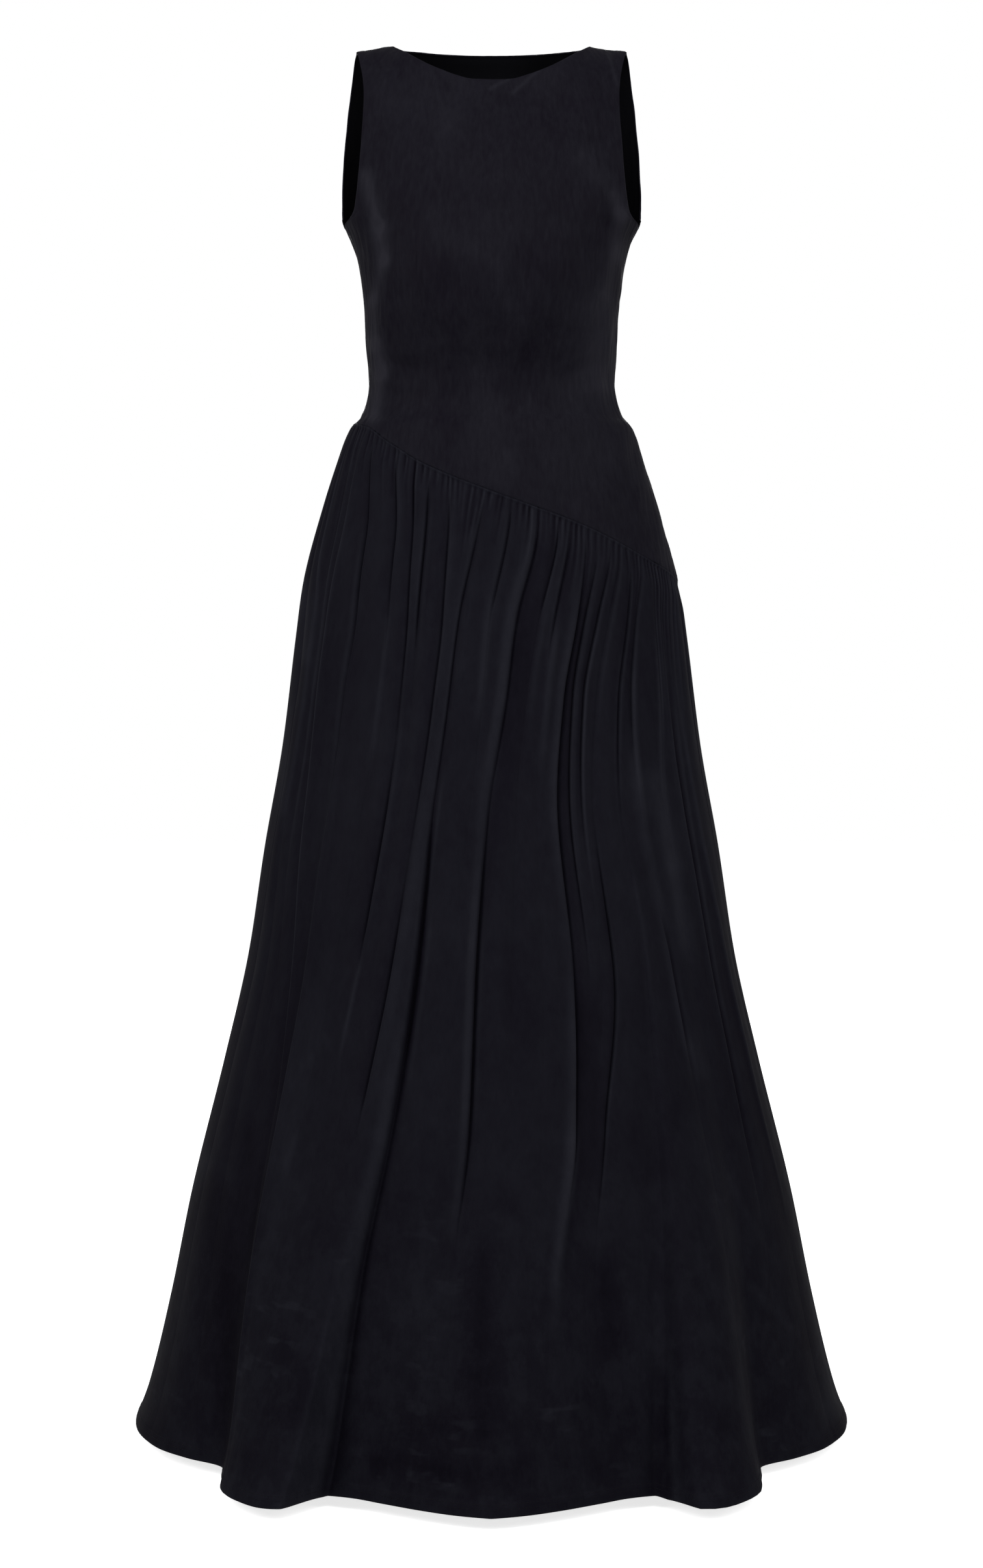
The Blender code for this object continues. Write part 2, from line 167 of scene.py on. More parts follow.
# What happens on a line: from and to (drop), where it is deepest, its depth and the
# steepness of its left and right walls (mm; negative depth is a ridge), then the side
# on which the cloth lies forward (-1 left, 1 right), that lip's height (mm) and overhang.
FRONT_FOLDS = [
    # line          from   peak   to     depth  left   right  side lip   over
    ("hip_a",       0.66,  0.74,  0.98,  -2.2,  6.0,   9.0,   0,   0.0,  0.0),
    ("hip_a",       0.40,  0.50,  0.66,   1.8,  3.0,   3.0,   0,   0.0,  0.0),
    ("hip_b",       0.40,  0.46,  0.54,   2.0,  2.2,   2.2,   1,   0.6,  0.0),
    ("hip_b",       0.50,  0.68,  0.86,  -2.4,  7.0,   5.0,   0,   0.0,  0.0),
    ("hip_c",       0.39,  0.48,  0.60,   3.2,  2.4,   2.4,   1,   0.8,  0.2),
    ("left_ridge",  0.39,  0.52,  0.72,   2.2,  5.5,   1.5,   1,   1.4,  0.3),
    ("left_ridge",  0.58,  0.88,  1.16,   1.8,  9.0,   1.8,   1,   1.8,  0.3),
    ("left_edge",   0.40,  0.50,  0.68,   4.6,  2.4,   1.8,   1,   1.0,  0.4),
    ("left_edge",   0.60,  1.00,  1.60,   6.5,  16.0,  2.0,   1,   3.2,  1.2),
    ("left_2",      0.41,  0.50,  0.64,   3.8,  2.2,   2.0,   1,   0.8,  0.3),
    ("left_2",      0.58,  0.66,  0.74,  -1.6,  3.0,   3.0,   0,   0.0,  0.0),
    ("left_3",      0.42,  0.54,  0.78,   3.4,  2.0,   2.2,   1,   0.8,  0.2),
    ("left_3",      0.72,  0.87,  0.96,   5.2,  2.2,   3.0,   1,   1.4,  0.5),
    ("left_3",      0.93,  0.98,  1.06,  -1.8,  4.0,   4.0,   0,   0.0,  0.0),
    ("left_4",      0.44,  0.54,  0.65,   5.0,  2.2,   2.4,   -1,  1.2,  0.5),
    ("left_5",      0.45,  0.60,  0.92,   3.2,  2.2,   2.6,   1,   1.0,  0.3),
    ("left_5",      0.84,  1.02,  1.12,   6.0,  2.6,   4.5,   1,   2.2,  0.8),
    ("main",        0.46,  0.62,  0.90,   3.4,  2.4,   3.2,   -1,  1.2,  0.5),
    ("main",        0.78,  0.94,  1.18,   9.5,  2.6,   9.0,   -1,  2.8,  1.4),
    ("main",        1.02,  1.30,  1.60,   7.0,  3.0,   10.0,  -1,  3.0,  1.0),
    ("middle_1",    0.47,  0.54,  0.61,   3.2,  2.0,   2.2,   -1,  1.0,  0.2),
    ("middle_1",    0.58,  0.63,  0.72,  -2.0,  3.5,   3.5,   0,   0.0,  0.0),
    ("middle_2",    0.47,  0.60,  0.86,   3.6,  2.2,   2.6,   -1,  1.4,  0.6),
    ("middle_2",    0.76,  1.00,  1.24,   9.0,  2.4,   3.6,   -1,  2.6,  1.6),
    ("middle_2",    1.16,  1.24,  1.34,  -2.0,  6.0,   6.0,   0,   0.0,  0.0),
    ("middle_3",    0.49,  0.55,  0.61,   3.8,  2.2,   2.4,   1,   1.0,  0.3),
    ("middle_3",    0.58,  0.62,  0.68,  -1.6,  3.0,   3.0,   0,   0.0,  0.0),
    ("middle_4",    0.50,  0.57,  0.65,   3.8,  2.2,   2.4,   -1,   1.0,  0.3),
    ("middle_4",    0.62,  0.67,  0.72,  -2.4,  2.6,   2.6,   0,   0.0,  0.0),
    ("right_1",     0.50,  0.72,  1.14,   6.0,  2.2,   2.4,   -1,  1.6,  0.6),
    ("right_1",     0.94,  1.07,  1.19,  6.5,   2.6,   2.8,   -1,  1.8,  0.7),
    ("right_1",     1.10,  1.17,  1.26,  -2.2,  7.0,   4.0,   0,   0.0,  0.0),
    ("right_2",     0.51,  0.72,  0.99,   5.4,  2.2,   2.4,   1,   1.2,  0.5),
    ("right_3",     0.52,  0.64,  0.86,   4.2,  2.2,   2.2,   1,   1.2,  0.4),
    ("right_3",     0.84,  0.90,  0.97,  -2.0,  3.0,   3.0,   0,   0.0,  0.0),
    ("right_4",     0.80,  1.00,  1.22,   7.5,  2.4,   3.6,   1,   2.2,  1.0),
    ("right_5",     0.53,  0.64,  0.82,   3.8,  2.2,   2.6,   1,   1.2,  0.3),
    ("right_5",     0.80,  0.86,  0.96,  -2.4,  4.5,   5.0,   0,   0.0,  0.0),
    ("right_5",     1.30,  1.45,  1.60,   5.0,  10.0,  3.0,   1,   3.0,  0.5),
    ("right_6",     0.54,  0.66,  0.77,   3.6,  2.2,   2.4,   1,   1.0,  0.3),
    ("right_6",     0.74,  0.80,  0.88,  -3.4,  6.0,   6.0,   0,   0.0,  0.0),
    ("right_6",     0.89,  0.97,  1.06,   4.4,  2.4,   3.2,   -1,  1.8,  0.5),
    ("right_7",     0.55,  0.64,  0.72,   2.8,  2.2,   2.2,   0,   0.8,  0.0),
    ("right_edge",  0.58,  0.92,  1.22,   6.8,  2.4,   5.0,   -1,  2.4,  1.0),
    ("right_ridge", 0.64,  0.92,  1.30,  -3.8,  6.0,   10.0,  0,   0.0,  0.0),
    ("hip_d",       0.64,  0.80,  1.00,  -2.2,  5.0,   5.0,   0,   0.0,  0.0),
    ("hip_d",       0.56,  0.62,  0.72,   2.0,  2.6,   2.6,   0,   0.0,  0.0),
]
# The back falls in the same way, in its own unevenness.
BACK_LINES = {
    "side_left":   (-90.0, -90.0, -90.0, -90.0, -90.0, -90.0, -90.0, -90.0, -90.0),
    "b1":          (-79.0, -75.0, -73.5, -73.0, -72.0, -73.0, -74.0, -75.0, -75.0),
    "b2":          (-69.0, -65.0, -63.0, -63.5, -64.0, -64.0, -63.0, -62.0, -61.0),
    "b3":          (-60.5, -56.0, -54.0, -54.5, -55.5, -56.5, -56.0, -53.0, -49.0),
    "b4":          (-51.0, -46.5, -45.0, -46.0, -46.5, -47.0, -46.0, -44.0, -41.0),
    "b5":          (-42.5, -38.0, -35.5, -35.0, -34.5, -34.0, -33.0, -32.0, -30.5),
    "b6":          (-33.5, -30.0, -28.5, -28.0, -28.0, -29.0, -28.0, -26.5, -25.0),
    "b7":          (-24.5, -22.0, -21.0, -20.5, -21.0, -22.0, -22.0, -20.5, -18.5),
    "b8":          (-14.0, -12.5, -13.0, -13.5, -14.0, -15.5, -15.0, -13.0, -11.0),
    "b9":          (-4.5, -4.5, -6.0, -7.0, -7.5, -7.5, -7.0, -5.5, -3.5),
    "b10":         (5.0, 3.5, 1.5, 0.5, 0.5, 1.0, 1.5, 3.0, 4.5),
    "b11":         (14.0, 12.0, 9.5, 8.0, 8.0, 9.0, 9.5, 11.0, 12.5),
    "b12":         (22.5, 20.5, 17.0, 15.0, 15.5, 16.5, 17.5, 19.0, 21.0),
    "b13":         (30.5, 28.5, 25.0, 23.0, 23.0, 24.0, 25.0, 27.5, 30.0),
    "b14":         (38.0, 36.5, 32.5, 31.0, 31.5, 33.0, 34.0, 36.0, 38.5),
    "b15":         (46.0, 44.5, 41.0, 39.5, 39.0, 40.5, 42.0, 44.0, 46.5),
    "b16":         (54.5, 53.5, 50.0, 48.5, 48.0, 48.5, 50.5, 52.5, 54.5),
    "b17":         (63.5, 62.5, 60.0, 58.5, 58.0, 58.5, 60.0, 61.5, 63.0),
    "b18":         (72.5, 71.5, 70.0, 69.0, 68.0, 69.0, 70.5, 71.5, 72.0),
    "b19":         (81.5, 81.0, 80.0, 79.0, 79.0, 80.0, 81.0, 81.0, 81.0),
    "side_right":  (90.0, 90.0, 90.0, 90.0, 90.0, 90.0, 90.0, 90.0, 90.0),
}
BACK_FOLDS = [
    # line   from   peak   to     depth  left   right  side lip   over
    ("b1",   0.40,  0.50,  0.66,   2.2,  3.0,   3.0,   0,   0.0,  0.0),
    ("b1",   0.70,  0.84,  1.10,  -2.4,  7.0,   9.0,   0,   0.0,  0.0),
    ("b2",   0.39,  0.56,  0.82,   4.0,  2.6,   2.4,   1,   1.0,  0.3),
    ("b3",   0.40,  0.50,  0.64,   3.4,  2.2,   2.4,   -1,  0.8,  0.2),
    ("b3",   0.80,  1.10,  1.60,   6.0,  3.0,   12.0,  -1,  2.6,  0.8),
    ("b4",   0.41,  0.60,  0.92,   4.6,  2.4,   2.6,   -1,  1.2,  0.4),
    ("b5",   0.42,  0.54,  0.70,   3.4,  2.2,   2.4,   1,   0.8,  0.2),
    ("b5",   0.88,  1.16,  1.60,   8.0,  10.0,  2.6,   1,   2.6,  1.0),
    ("b6",   0.43,  0.66,  1.04,   5.6,  2.4,   3.0,   -1,  1.6,  0.6),
    ("b7",   0.44,  0.54,  0.66,   3.8,  2.2,   2.4,   1,   1.0,  0.3),
    ("b7",   0.64,  0.74,  0.88,  -2.2,  5.0,   4.0,   0,   0.0,  0.0),
    ("b8",   0.45,  0.76,  1.18,   6.6,  2.8,   2.4,   1,   2.0,  0.8),
    ("b9",   0.46,  0.56,  0.72,   3.6,  2.2,   2.2,   -1,  0.8,  0.2),
    ("b10",  0.47,  0.66,  0.94,   5.0,  2.4,   3.2,   -1,  1.6,  0.5),
    ("b10",  0.92,  1.20,  1.50,   4.8,  4.0,   9.0,   -1,  2.0,  0.6),
    ("b11",  0.48,  0.58,  0.70,   3.6,  2.2,   2.4,   1,   1.0,  0.3),
    ("b12",  0.49,  0.80,  1.24,   7.2,  2.6,   3.0,   1,   2.0,  0.8),
    ("b13",  0.50,  0.60,  0.74,   4.0,  2.2,   2.4,   -1,  1.0,  0.3),
    ("b13",  0.72,  0.80,  0.92,  -2.4,  4.0,   5.0,   0,   0.0,  0.0),
    ("b14",  0.51,  0.74,  1.10,   6.2,  2.4,   3.0,   -1,  1.8,  0.6),
    ("b14",  1.12,  1.30,  1.60,   5.0,  8.0,   3.0,   1,   2.0,  0.6),
    ("b15",  0.52,  0.62,  0.78,   4.0,  2.2,   2.4,   1,   1.0,  0.3),
    ("b16",  0.53,  0.78,  1.06,   5.2,  2.6,   2.6,   1,   1.4,  0.5),
    ("b17",  0.54,  0.62,  0.76,   3.2,  2.2,   2.4,   -1,  0.8,  0.2),
    ("b17",  0.86,  1.08,  1.40,   4.6,  3.0,   7.0,   -1,  1.8,  0.5),
    ("b18",  0.56,  0.68,  0.90,   3.0,  2.4,   2.8,   0,   0.0,  0.0),
    ("b18",  0.88,  1.05,  1.30,  -2.4,  7.0,   6.0,   0,   0.0,  0.0),
    ("b19",  0.56,  0.62,  0.72,   2.0,  2.6,   2.6,   0,   0.0,  0.0),
]
GATHER_STEP = 0.0068    # distance between the fine gathers along the seam
GATHER_DEPTH = 0.0015

# Bands that run beside a line: from, peak, to (drop), distance to the right of the line
# and half width (mm), height of the relief (mm), and how light or dark the band is painted:
# painted highlight on the raised sides of folds, painted shade in the hollows.
FRONT_BANDS = [
    # line          from   peak   to     away    wide   high   painted
    ("hip_b",       0.41,  0.50,  0.64,   3.0,   3.0,   0.8,   0.70),
    ("hip_b",       0.56,  0.66,  0.88,   0.0,   3.4,   0.6,   0.50),
    ("hip_c",       0.46,  0.60,  0.92,   2.2,   2.5,   0.6,   0.60),
    ("left_ridge",  0.44,  0.54,  0.68,   2.4,   2.0,   0.6,   0.45),
    ("left_ridge",  0.52,  0.78,  1.06,   1.0,   2.3,   0.6,   0.75),
    ("left_edge",   0.48,  0.62,  0.82,  -4.0,   3.0,   1.0,   0.40),
    ("left_edge",   0.72,  1.05,  1.60,  -2.4,   2.1,   0.7,   0.95),
    ("left_edge",   0.84,  1.20,  1.60, -15.0,  13.0,   0.0,  -0.34),
    ("left_edge",   0.92,  1.28,  1.70, -42.0,  22.0,   0.0,  -0.20),
    ("left_edge",   0.90,  1.25,  1.70,  16.0,  16.0,   0.0,   0.14),
    ("left_2",      0.42,  0.48,  0.56,   5.0,   3.0,   0.8,   0.30),
    ("left_2",      0.58,  0.68,  0.78,   1.0,   3.6,   1.0,   0.45),
    ("left_3",      0.66,  0.80,  0.93,   4.6,   3.0,   0.6,   0.25),
    ("left_3",      0.93,  0.985, 1.06,   2.0,   2.6,   0.6,   0.60),
    ("left_4",      0.46,  0.54,  0.66,   4.6,   3.0,   0.8,   0.35),
    ("left_5",      0.47,  0.60,  0.76,   5.0,   5.0,   1.2,   0.32),
    ("left_5",      0.70,  0.90,  1.14,   8.0,   6.5,   1.8,   0.42),
        ("main",        0.48,  0.58,  0.78,   6.0,   4.5,   1.2,   0.25),
    ("main",        0.74,  0.83,  0.94,   6.0,   2.4,   0.8,   0.55),
    ("main",        0.80,  0.94,  1.12,   1.5,   4.2,  -1.4,  -0.34),
    ("main",        0.86,  0.97,  1.12,  10.2,   2.6,   0.6,   0.40),
    ("main",        0.98,  1.10,  1.32,  -8.0,   5.5,   1.6,   0.40),
    ("main",        1.20,  1.36,  1.60,  -9.0,   8.0,   1.6,   0.38),
    ("middle_1",    0.48,  0.54,  0.62,   4.5,   3.4,   0.8,   0.30),
    ("middle_1",    0.56,  0.64,  0.73,  -2.4,   4.6,   1.8,   0.60),
    ("middle_2",    0.48,  0.60,  0.90,  -7.0,   5.0,   2.2,   0.50),
    ("middle_2",    0.56,  0.70,  0.92,  13.0,  10.0,  -1.0,  -0.26),
    ("middle_2",    0.80,  1.00,  1.26,  -6.0,   2.6,   0.8,   0.50),
    ("middle_2",    0.86,  1.00,  1.16,   6.0,   2.6,   0.8,   0.40),
    ("middle_3",    0.56,  0.63,  0.73,   5.0,   3.6,   1.2,   0.40),
    ("middle_4",    0.58,  0.66,  0.78,   3.6,   4.2,   1.8,   0.60),
    ("right_1",     0.54,  0.68,  0.95,  -5.0,   3.6,   1.2,   0.38),
    ("right_1",     0.92,  1.02,  1.14,  -5.0,   3.4,   0.8,   0.30),
    ("right_1",     1.06,  1.17,  1.32,  -5.0,   6.0,   2.2,   0.75),
    ("right_1",     0.94,  1.05,  1.24,  14.0,  13.0,  -1.0,  -0.32),
    ("right_2",     0.54,  0.70,  0.90,   5.0,   2.6,   0.8,   0.25),
    ("right_3",     0.58,  0.76,  0.92,   2.6,   1.8,   0.6,   0.45),
    ("right_4",     0.54,  0.62,  0.74,   4.0,   2.4,   0.8,   0.30),
    ("right_5",     0.60,  0.70,  0.84,  -3.0,   1.8,   0.5,   0.30),
    ("right_5",     0.84,  0.90,  1.00,   3.0,   3.0,   0.6,   0.30),
    ("right_6",     0.60,  0.72,  0.82,   3.6,   3.4,   1.4,   0.45),
    ("right_6",     0.70,  0.82,  0.98,   2.0,   7.0,   1.6,   0.50),
    ("right_6",     0.92,  1.00,  1.07,  -4.5,   2.8,   0.6,   0.40),
    ("right_6",     0.92,  1.00,  1.09,   6.0,   3.2,   0.6,   0.40),
    ("right_7",     0.58,  0.70,  0.88,   0.0,   3.4,   1.0,   0.35),
    ("right_7",     0.74,  0.86,  0.98,  -6.0,   9.0,   0.0,   0.30),
    ("right_edge",  0.62,  0.88,  1.14,  -2.6,   2.0,   0.8,   0.35),
    ("right_edge",  0.66,  0.96,  1.18,   2.4,   3.8,  -2.6,  -0.90),
    ("right_edge",  0.62,  0.85,  1.22,   9.0,   3.0,   0.8,   0.55),
    ("right_6",     0.88,  0.97,  1.08,   2.4,   1.6,  -0.8,  -0.30),
    ("right_7",     0.60,  0.70,  0.80,  -4.0,   2.2,   0.8,   0.55),
    ("right_ridge", 0.52,  0.62,  0.76,  -4.5,   1.8,   0.6,   0.45),
    ("right_ridge", 0.52,  0.62,  0.74,   4.6,   1.8,   0.6,   0.45),
    ("right_edge",  0.84,  0.98,  1.18, -12.0,  11.0,  -0.5,  -0.16),
    ("right_ridge", 0.60,  0.85,  1.34,   0.0,   3.0,   0.6,   0.60),
    ("hip_d",       0.60,  0.74,  0.92,   2.0,   2.4,   0.4,  -0.25),
]
BACK_BANDS = [
    ("b1",   0.60,  0.80,  1.20,   0.0,   3.4,   0.6,   0.45),
    ("b2",   0.46,  0.62,  0.90,   4.5,   2.6,   0.8,   0.40),
    ("b3",   0.80,  1.10,  1.60,  -8.0,   6.0,   1.6,   0.40),
    ("b3",   0.90,  1.15,  1.60,   9.0,   9.0,   0.0,  -0.26),
    ("b4",   0.44,  0.62,  0.94,  -5.0,   3.2,   1.0,   0.38),
    ("b5",   0.44,  0.54,  0.72,   4.5,   3.0,   0.8,   0.30),
    ("b5",   0.90,  1.18,  1.60,   8.0,   6.5,   1.8,   0.42),
    ("b5",   0.90,  1.18,  1.60,  -9.0,   9.0,   0.0,  -0.26),
    ("b6",   0.46,  0.70,  1.06,  -6.0,   4.0,   1.4,   0.42),
    ("b7",   0.60,  0.74,  0.90,   2.0,   4.4,   1.4,   0.45),
    ("b8",   0.50,  0.76,  1.20,   6.0,   4.0,   1.6,   0.45),
    ("b8",   1.10,  1.24,  1.42,   0.0,   5.5,   1.6,   0.40),
    ("b9",   0.60,  0.80,  1.10,   8.0,  10.0,  -0.6,  -0.18),
    ("b10",  0.48,  0.66,  0.96,  -6.0,   4.0,   1.4,   0.38),
    ("b10",  0.94,  1.20,  1.52,  -6.0,   5.0,   1.2,   0.35),
    ("b11",  0.50,  0.60,  0.76,   4.0,   3.0,   0.8,   0.32),
    ("b12",  0.52,  0.80,  1.26,   6.5,   4.0,   1.6,   0.45),
    ("b12",  1.14,  1.28,  1.44,   3.0,   6.0,   1.6,   0.35),
    ("b13",  0.66,  0.80,  0.96,   2.0,   4.4,   1.4,   0.40),
    ("b14",  0.54,  0.74,  1.12,  -6.0,   4.0,   1.4,   0.42),
    ("b15",  0.80,  1.00,  1.30,   0.0,   9.0,   0.0,  -0.20),
    ("b16",  0.56,  0.78,  1.08,   5.0,   3.2,   1.0,   0.38),
    ("b17",  0.86,  1.08,  1.42,  -6.0,   4.4,   1.2,   0.40),
    ("b18",  0.84,  1.05,  1.32,   0.0,   4.0,   0.8,   0.45),
    ("b19",  0.60,  0.74,  1.00,   2.0,   2.4,   0.4,   0.30),
]
# Places painted lighter or darker: on the bodice, painted sheen bands down the sides, painted shade
# at the bust sides and painted light and shade beside small drag lines, among lighter and darker
# patches; on the skirt, lighter and darker places: from x, drop to x, drop, half width in mm, strength.
BODICE_SHEEN_SHADE_AND_NAP = {
    -1: [
        (-0.129, 0.144, -0.117, 0.196, 7.0, 0.80),
        (-0.117, 0.196, -0.110, 0.231, 8.0, 0.90),
        (-0.111, 0.234, -0.123, 0.269, 7.0, 0.60),
        (-0.123, 0.269, -0.122, 0.312, 7.0, 0.70),
        (-0.120, 0.315, -0.114, 0.342, 8.0, 1.05),
        (-0.115, 0.348, -0.122, 0.389, 8.0, 0.95),
        (0.127, 0.165, 0.135, 0.183, 8.0, 0.70),
        (0.133, 0.184, 0.129, 0.222, 8.0, 0.65),
        (0.129, 0.222, 0.118, 0.264, 9.0, 0.55),
        (0.117, 0.277, 0.119, 0.354, 18.0, 0.48),
        (0.096, 0.288, 0.106, 0.346, 24.0, 0.28),
        (0.083, 0.364, 0.116, 0.431, 30.0, 0.22),
        (0.109, 0.146, 0.096, 0.127, 14.0, 0.30),
        (-0.093, 0.175, -0.088, 0.195, 16.0, -0.24),
        (-0.076, 0.236, -0.023, 0.251, 22.0, -0.28),
        (-0.069, 0.256, -0.036, 0.283, 20.0, -0.16),
        (-0.077, 0.338, -0.050, 0.393, 25.0, -0.24),
        (-0.010, 0.171, 0.023, 0.178, 18.0, -0.18),
        (0.076, 0.190, 0.116, 0.193, 17.0, -0.16),
        (0.042, 0.237, 0.089, 0.261, 24.0, -0.22),
        (0.043, 0.327, 0.046, 0.366, 13.0, -0.12),
        (0.100, 0.034, 0.110, 0.070, 13.0, -0.12),
        (-0.024, 0.051, -0.043, 0.094, 15.0, 0.16),
        (-0.043, 0.094, -0.053, 0.136, 13.0, 0.13),
        (-0.060, 0.190, -0.050, 0.217, 14.0, 0.20),
        (-0.036, 0.218, 0.003, 0.238, 10.0, 0.16),
        (0.006, 0.251, 0.029, 0.302, 8.0, 0.16),
        (-0.017, 0.302, -0.010, 0.366, 14.0, 0.18),
        (-0.004, 0.393, 0.010, 0.446, 22.0, 0.26),
        (0.049, 0.399, 0.082, 0.446, 20.0, 0.12),
        (-0.077, 0.079, -0.064, 0.065, 26.0, 0.12),
        (-0.111, 0.034, -0.104, 0.070, 16.0, 0.12),
        (0.050, 0.051, 0.070, 0.029, 16.0, 0.16),
        (-0.110, 0.105, -0.103, 0.154, 10.0, -0.15),
        (-0.002, 0.057, 0.018, 0.045, 2.0, 0.50),
        (0.022, 0.060, 0.048, 0.036, 2.2, 0.45),
        (-0.058, 0.036, -0.043, 0.056, 2.2, -0.45),
        (0.121, 0.010, 0.130, 0.046, 2.2, 0.40),
        (-0.122, 0.012, -0.113, 0.034, 1.8, -0.35),
    ],
    1: [
        (-0.120, 0.190, -0.112, 0.240, 20.0, 0.34),
        (-0.114, 0.270, -0.116, 0.350, 22.0, 0.36),
        (0.122, 0.190, 0.114, 0.250, 20.0, 0.30),
        (0.112, 0.280, 0.114, 0.350, 24.0, 0.28),
        (-0.060, 0.060, -0.020, 0.140, 22.0, 0.18),
        (0.030, 0.080, 0.070, 0.150, 26.0, -0.18),
        (-0.070, 0.180, -0.050, 0.250, 24.0, -0.20),
        (0.000, 0.200, 0.010, 0.330, 12.0, 0.20),
        (0.060, 0.260, 0.070, 0.330, 22.0, -0.18),
        (-0.040, 0.330, -0.060, 0.400, 24.0, -0.16),
        (0.010, 0.380, 0.050, 0.450, 28.0, 0.20),
        (0.100, 0.400, 0.120, 0.480, 26.0, 0.16),
        (-0.090, 0.100, -0.100, 0.150, 14.0, 0.16),
        (0.090, 0.040, 0.100, 0.110, 16.0, 0.14),
    ],
}
# The skirt's light streaks at the side edges are painted sheen; its other places are lighter and darker, most of the
# dark ones low down.
SKIRT_SHEEN_AND_TONE = {
    -1: [
        (-0.283, 1.196, -0.282, 1.407, 22.0, -0.35),
        (-0.255, 1.127, -0.238, 1.215, 16.0, -0.22),
        (-0.007, 1.219, -0.010, 1.372, 13.0, -0.34),
        (0.022, 1.172, 0.012, 1.160, 12.0, -0.20),
        (0.034, 1.261, 0.031, 1.273, 12.0, -0.20),
        (0.113, 1.235, 0.122, 1.305, 14.0, -0.40),
        (-0.213, 1.379, -0.174, 1.355, 14.0, -0.15),
        (-0.122, 1.412, 0.027, 1.412, 14.0, -0.30),
        (-0.084, 1.381, -0.034, 1.367, 9.0, -0.25),
        (-0.246, 1.421, -0.226, 1.410, 13.0, -0.20),
        (0.219, 1.392, 0.160, 1.370, 20.0, -0.12),
        (0.178, 1.084, 0.163, 1.143, 8.0, -0.14),
        (-0.352, 1.375, -0.344, 1.321, 7.0, 0.50),
        (-0.312, 1.198, -0.295, 1.159, 6.0, 0.50),
        (0.349, 1.398, 0.354, 1.422, 14.0, 0.55),
        (0.335, 1.315, 0.344, 1.377, 6.0, 0.30),
        (0.148, 1.292, 0.160, 1.353, 20.0, 0.14),
        (0.211, 1.119, 0.237, 1.215, 30.0, 0.12),
        (-0.085, 1.257, -0.066, 1.286, 30.0, 0.12),
        (-0.198, 1.147, -0.209, 1.270, 26.0, 0.10),
        (-0.084, 1.421, -0.022, 1.429, 2.6, 0.40),
        (-0.034, 1.393, 0.021, 1.396, 3.0, 0.30),
        (-0.186, 1.047, -0.159, 1.020, 3.0, 0.25),
        (-0.201, 1.142, -0.191, 1.116, 3.6, 0.35),
        (0.272, 1.272, 0.317, 1.332, 3.0, 0.30),
        (0.239, 1.154, 0.296, 1.262, 3.0, 0.20),
        (-0.193, 0.563, -0.189, 0.638, 7.0, 0.50),
        (-0.211, 0.693, -0.213, 0.799, 6.0, 0.40),
        (0.162, 0.763, 0.182, 0.849, 12.0, 0.40),
        (0.182, 0.849, 0.195, 0.928, 11.0, 0.40),
        (0.200, 1.024, 0.210, 1.057, 8.0, 0.30),
        (0.238, 0.804, 0.253, 0.873, 12.0, -0.26),
    ],
    1: [
        (-0.270, 1.180, -0.290, 1.400, 24.0, -0.30),
        (-0.120, 1.230, -0.130, 1.380, 16.0, -0.30),
        (0.060, 1.260, 0.050, 1.400, 20.0, -0.28),
        (0.200, 1.200, 0.230, 1.330, 22.0, -0.26),
        (-0.040, 1.410, 0.110, 1.415, 13.0, -0.24),
        (-0.190, 1.100, -0.200, 1.260, 26.0, 0.14),
        (-0.030, 1.180, -0.020, 1.300, 24.0, 0.14),
        (0.130, 1.240, 0.150, 1.360, 22.0, 0.16),
        (0.300, 1.250, 0.330, 1.390, 16.0, 0.30),
        (-0.340, 1.320, -0.352, 1.400, 8.0, 0.45),
        (0.120, 1.370, 0.180, 1.345, 3.0, 0.30),
        (-0.090, 1.330, -0.060, 1.370, 3.0, 0.28),
        (0.010, 0.900, 0.020, 1.060, 20.0, -0.10),
        (-0.150, 0.800, -0.160, 0.960, 20.0, 0.10),
    ],
}


# ================================================================= form
def dense(table, column, count=6001):
    """A table's column along a curve that never overshoots, sampled finely."""
    xs, ys = table[:, 0].astype(float), table[:, column].astype(float)
    rise = np.diff(ys) / np.diff(xs)
    slope = np.empty(len(xs))
    slope[0], slope[-1] = rise[0], rise[-1]
    a, b = rise[:-1], rise[1:]
    same = a * b > 0
    slope[1:-1] = np.where(same, 2 * a * b / np.where(same, a + b, 1.0), 0.0)
    at = np.linspace(xs[0], xs[-1], count)
    i = np.clip(np.searchsorted(xs, at, side="right") - 1, 0, len(xs) - 2)
    width = xs[i + 1] - xs[i]
    t = (at - xs[i]) / width
    out = (ys[i] * (2 * t ** 3 - 3 * t * t + 1) + slope[i] * width * (t ** 3 - 2 * t * t + t)
           + ys[i + 1] * (3 * t * t - 2 * t ** 3) + slope[i + 1] * width * (t ** 3 - t * t))
    return at, out


class Curve:
    def __init__(self, table, column):
        self.at, self.out = dense(table, column)

    def __call__(self, x):
        return np.interp(x, self.at, self.out)


HALF, DEEP_FRONT, DEEP_BACK, ROUND = (Curve(SECTIONS, k) for k in (1, 2, 3, 4))
NECK_EDGE = {-1: Curve(NECK, 1), 1: Curve(NECK, 2)}
ARM_EDGE = {-1: Curve(ARMHOLE, 1), 1: Curve(ARMHOLE, 2)}
SEAM_DROP = Curve(SEAM, 1)
HEM_PLAN = {side: Curve(table, 1) for side, table in HEM.items()}


def smooth(low, high, at):
    t = np.clip((np.asarray(at, float) - low) / (high - low), 0, 1)
    return t * t * (3 - 2 * t)


def ridge(x):
    x = np.abs(x)
    inner = 0.001 + NECK_RISE * (1 - np.clip(x / NECK_HALF, 0, 1) ** 2) ** 1.5
    outer = 0.001 - TIP_DROP * (x - NECK_HALF) / (TIP_HALF - NECK_HALF)
    return np.where(x < NECK_HALF, inner, outer)


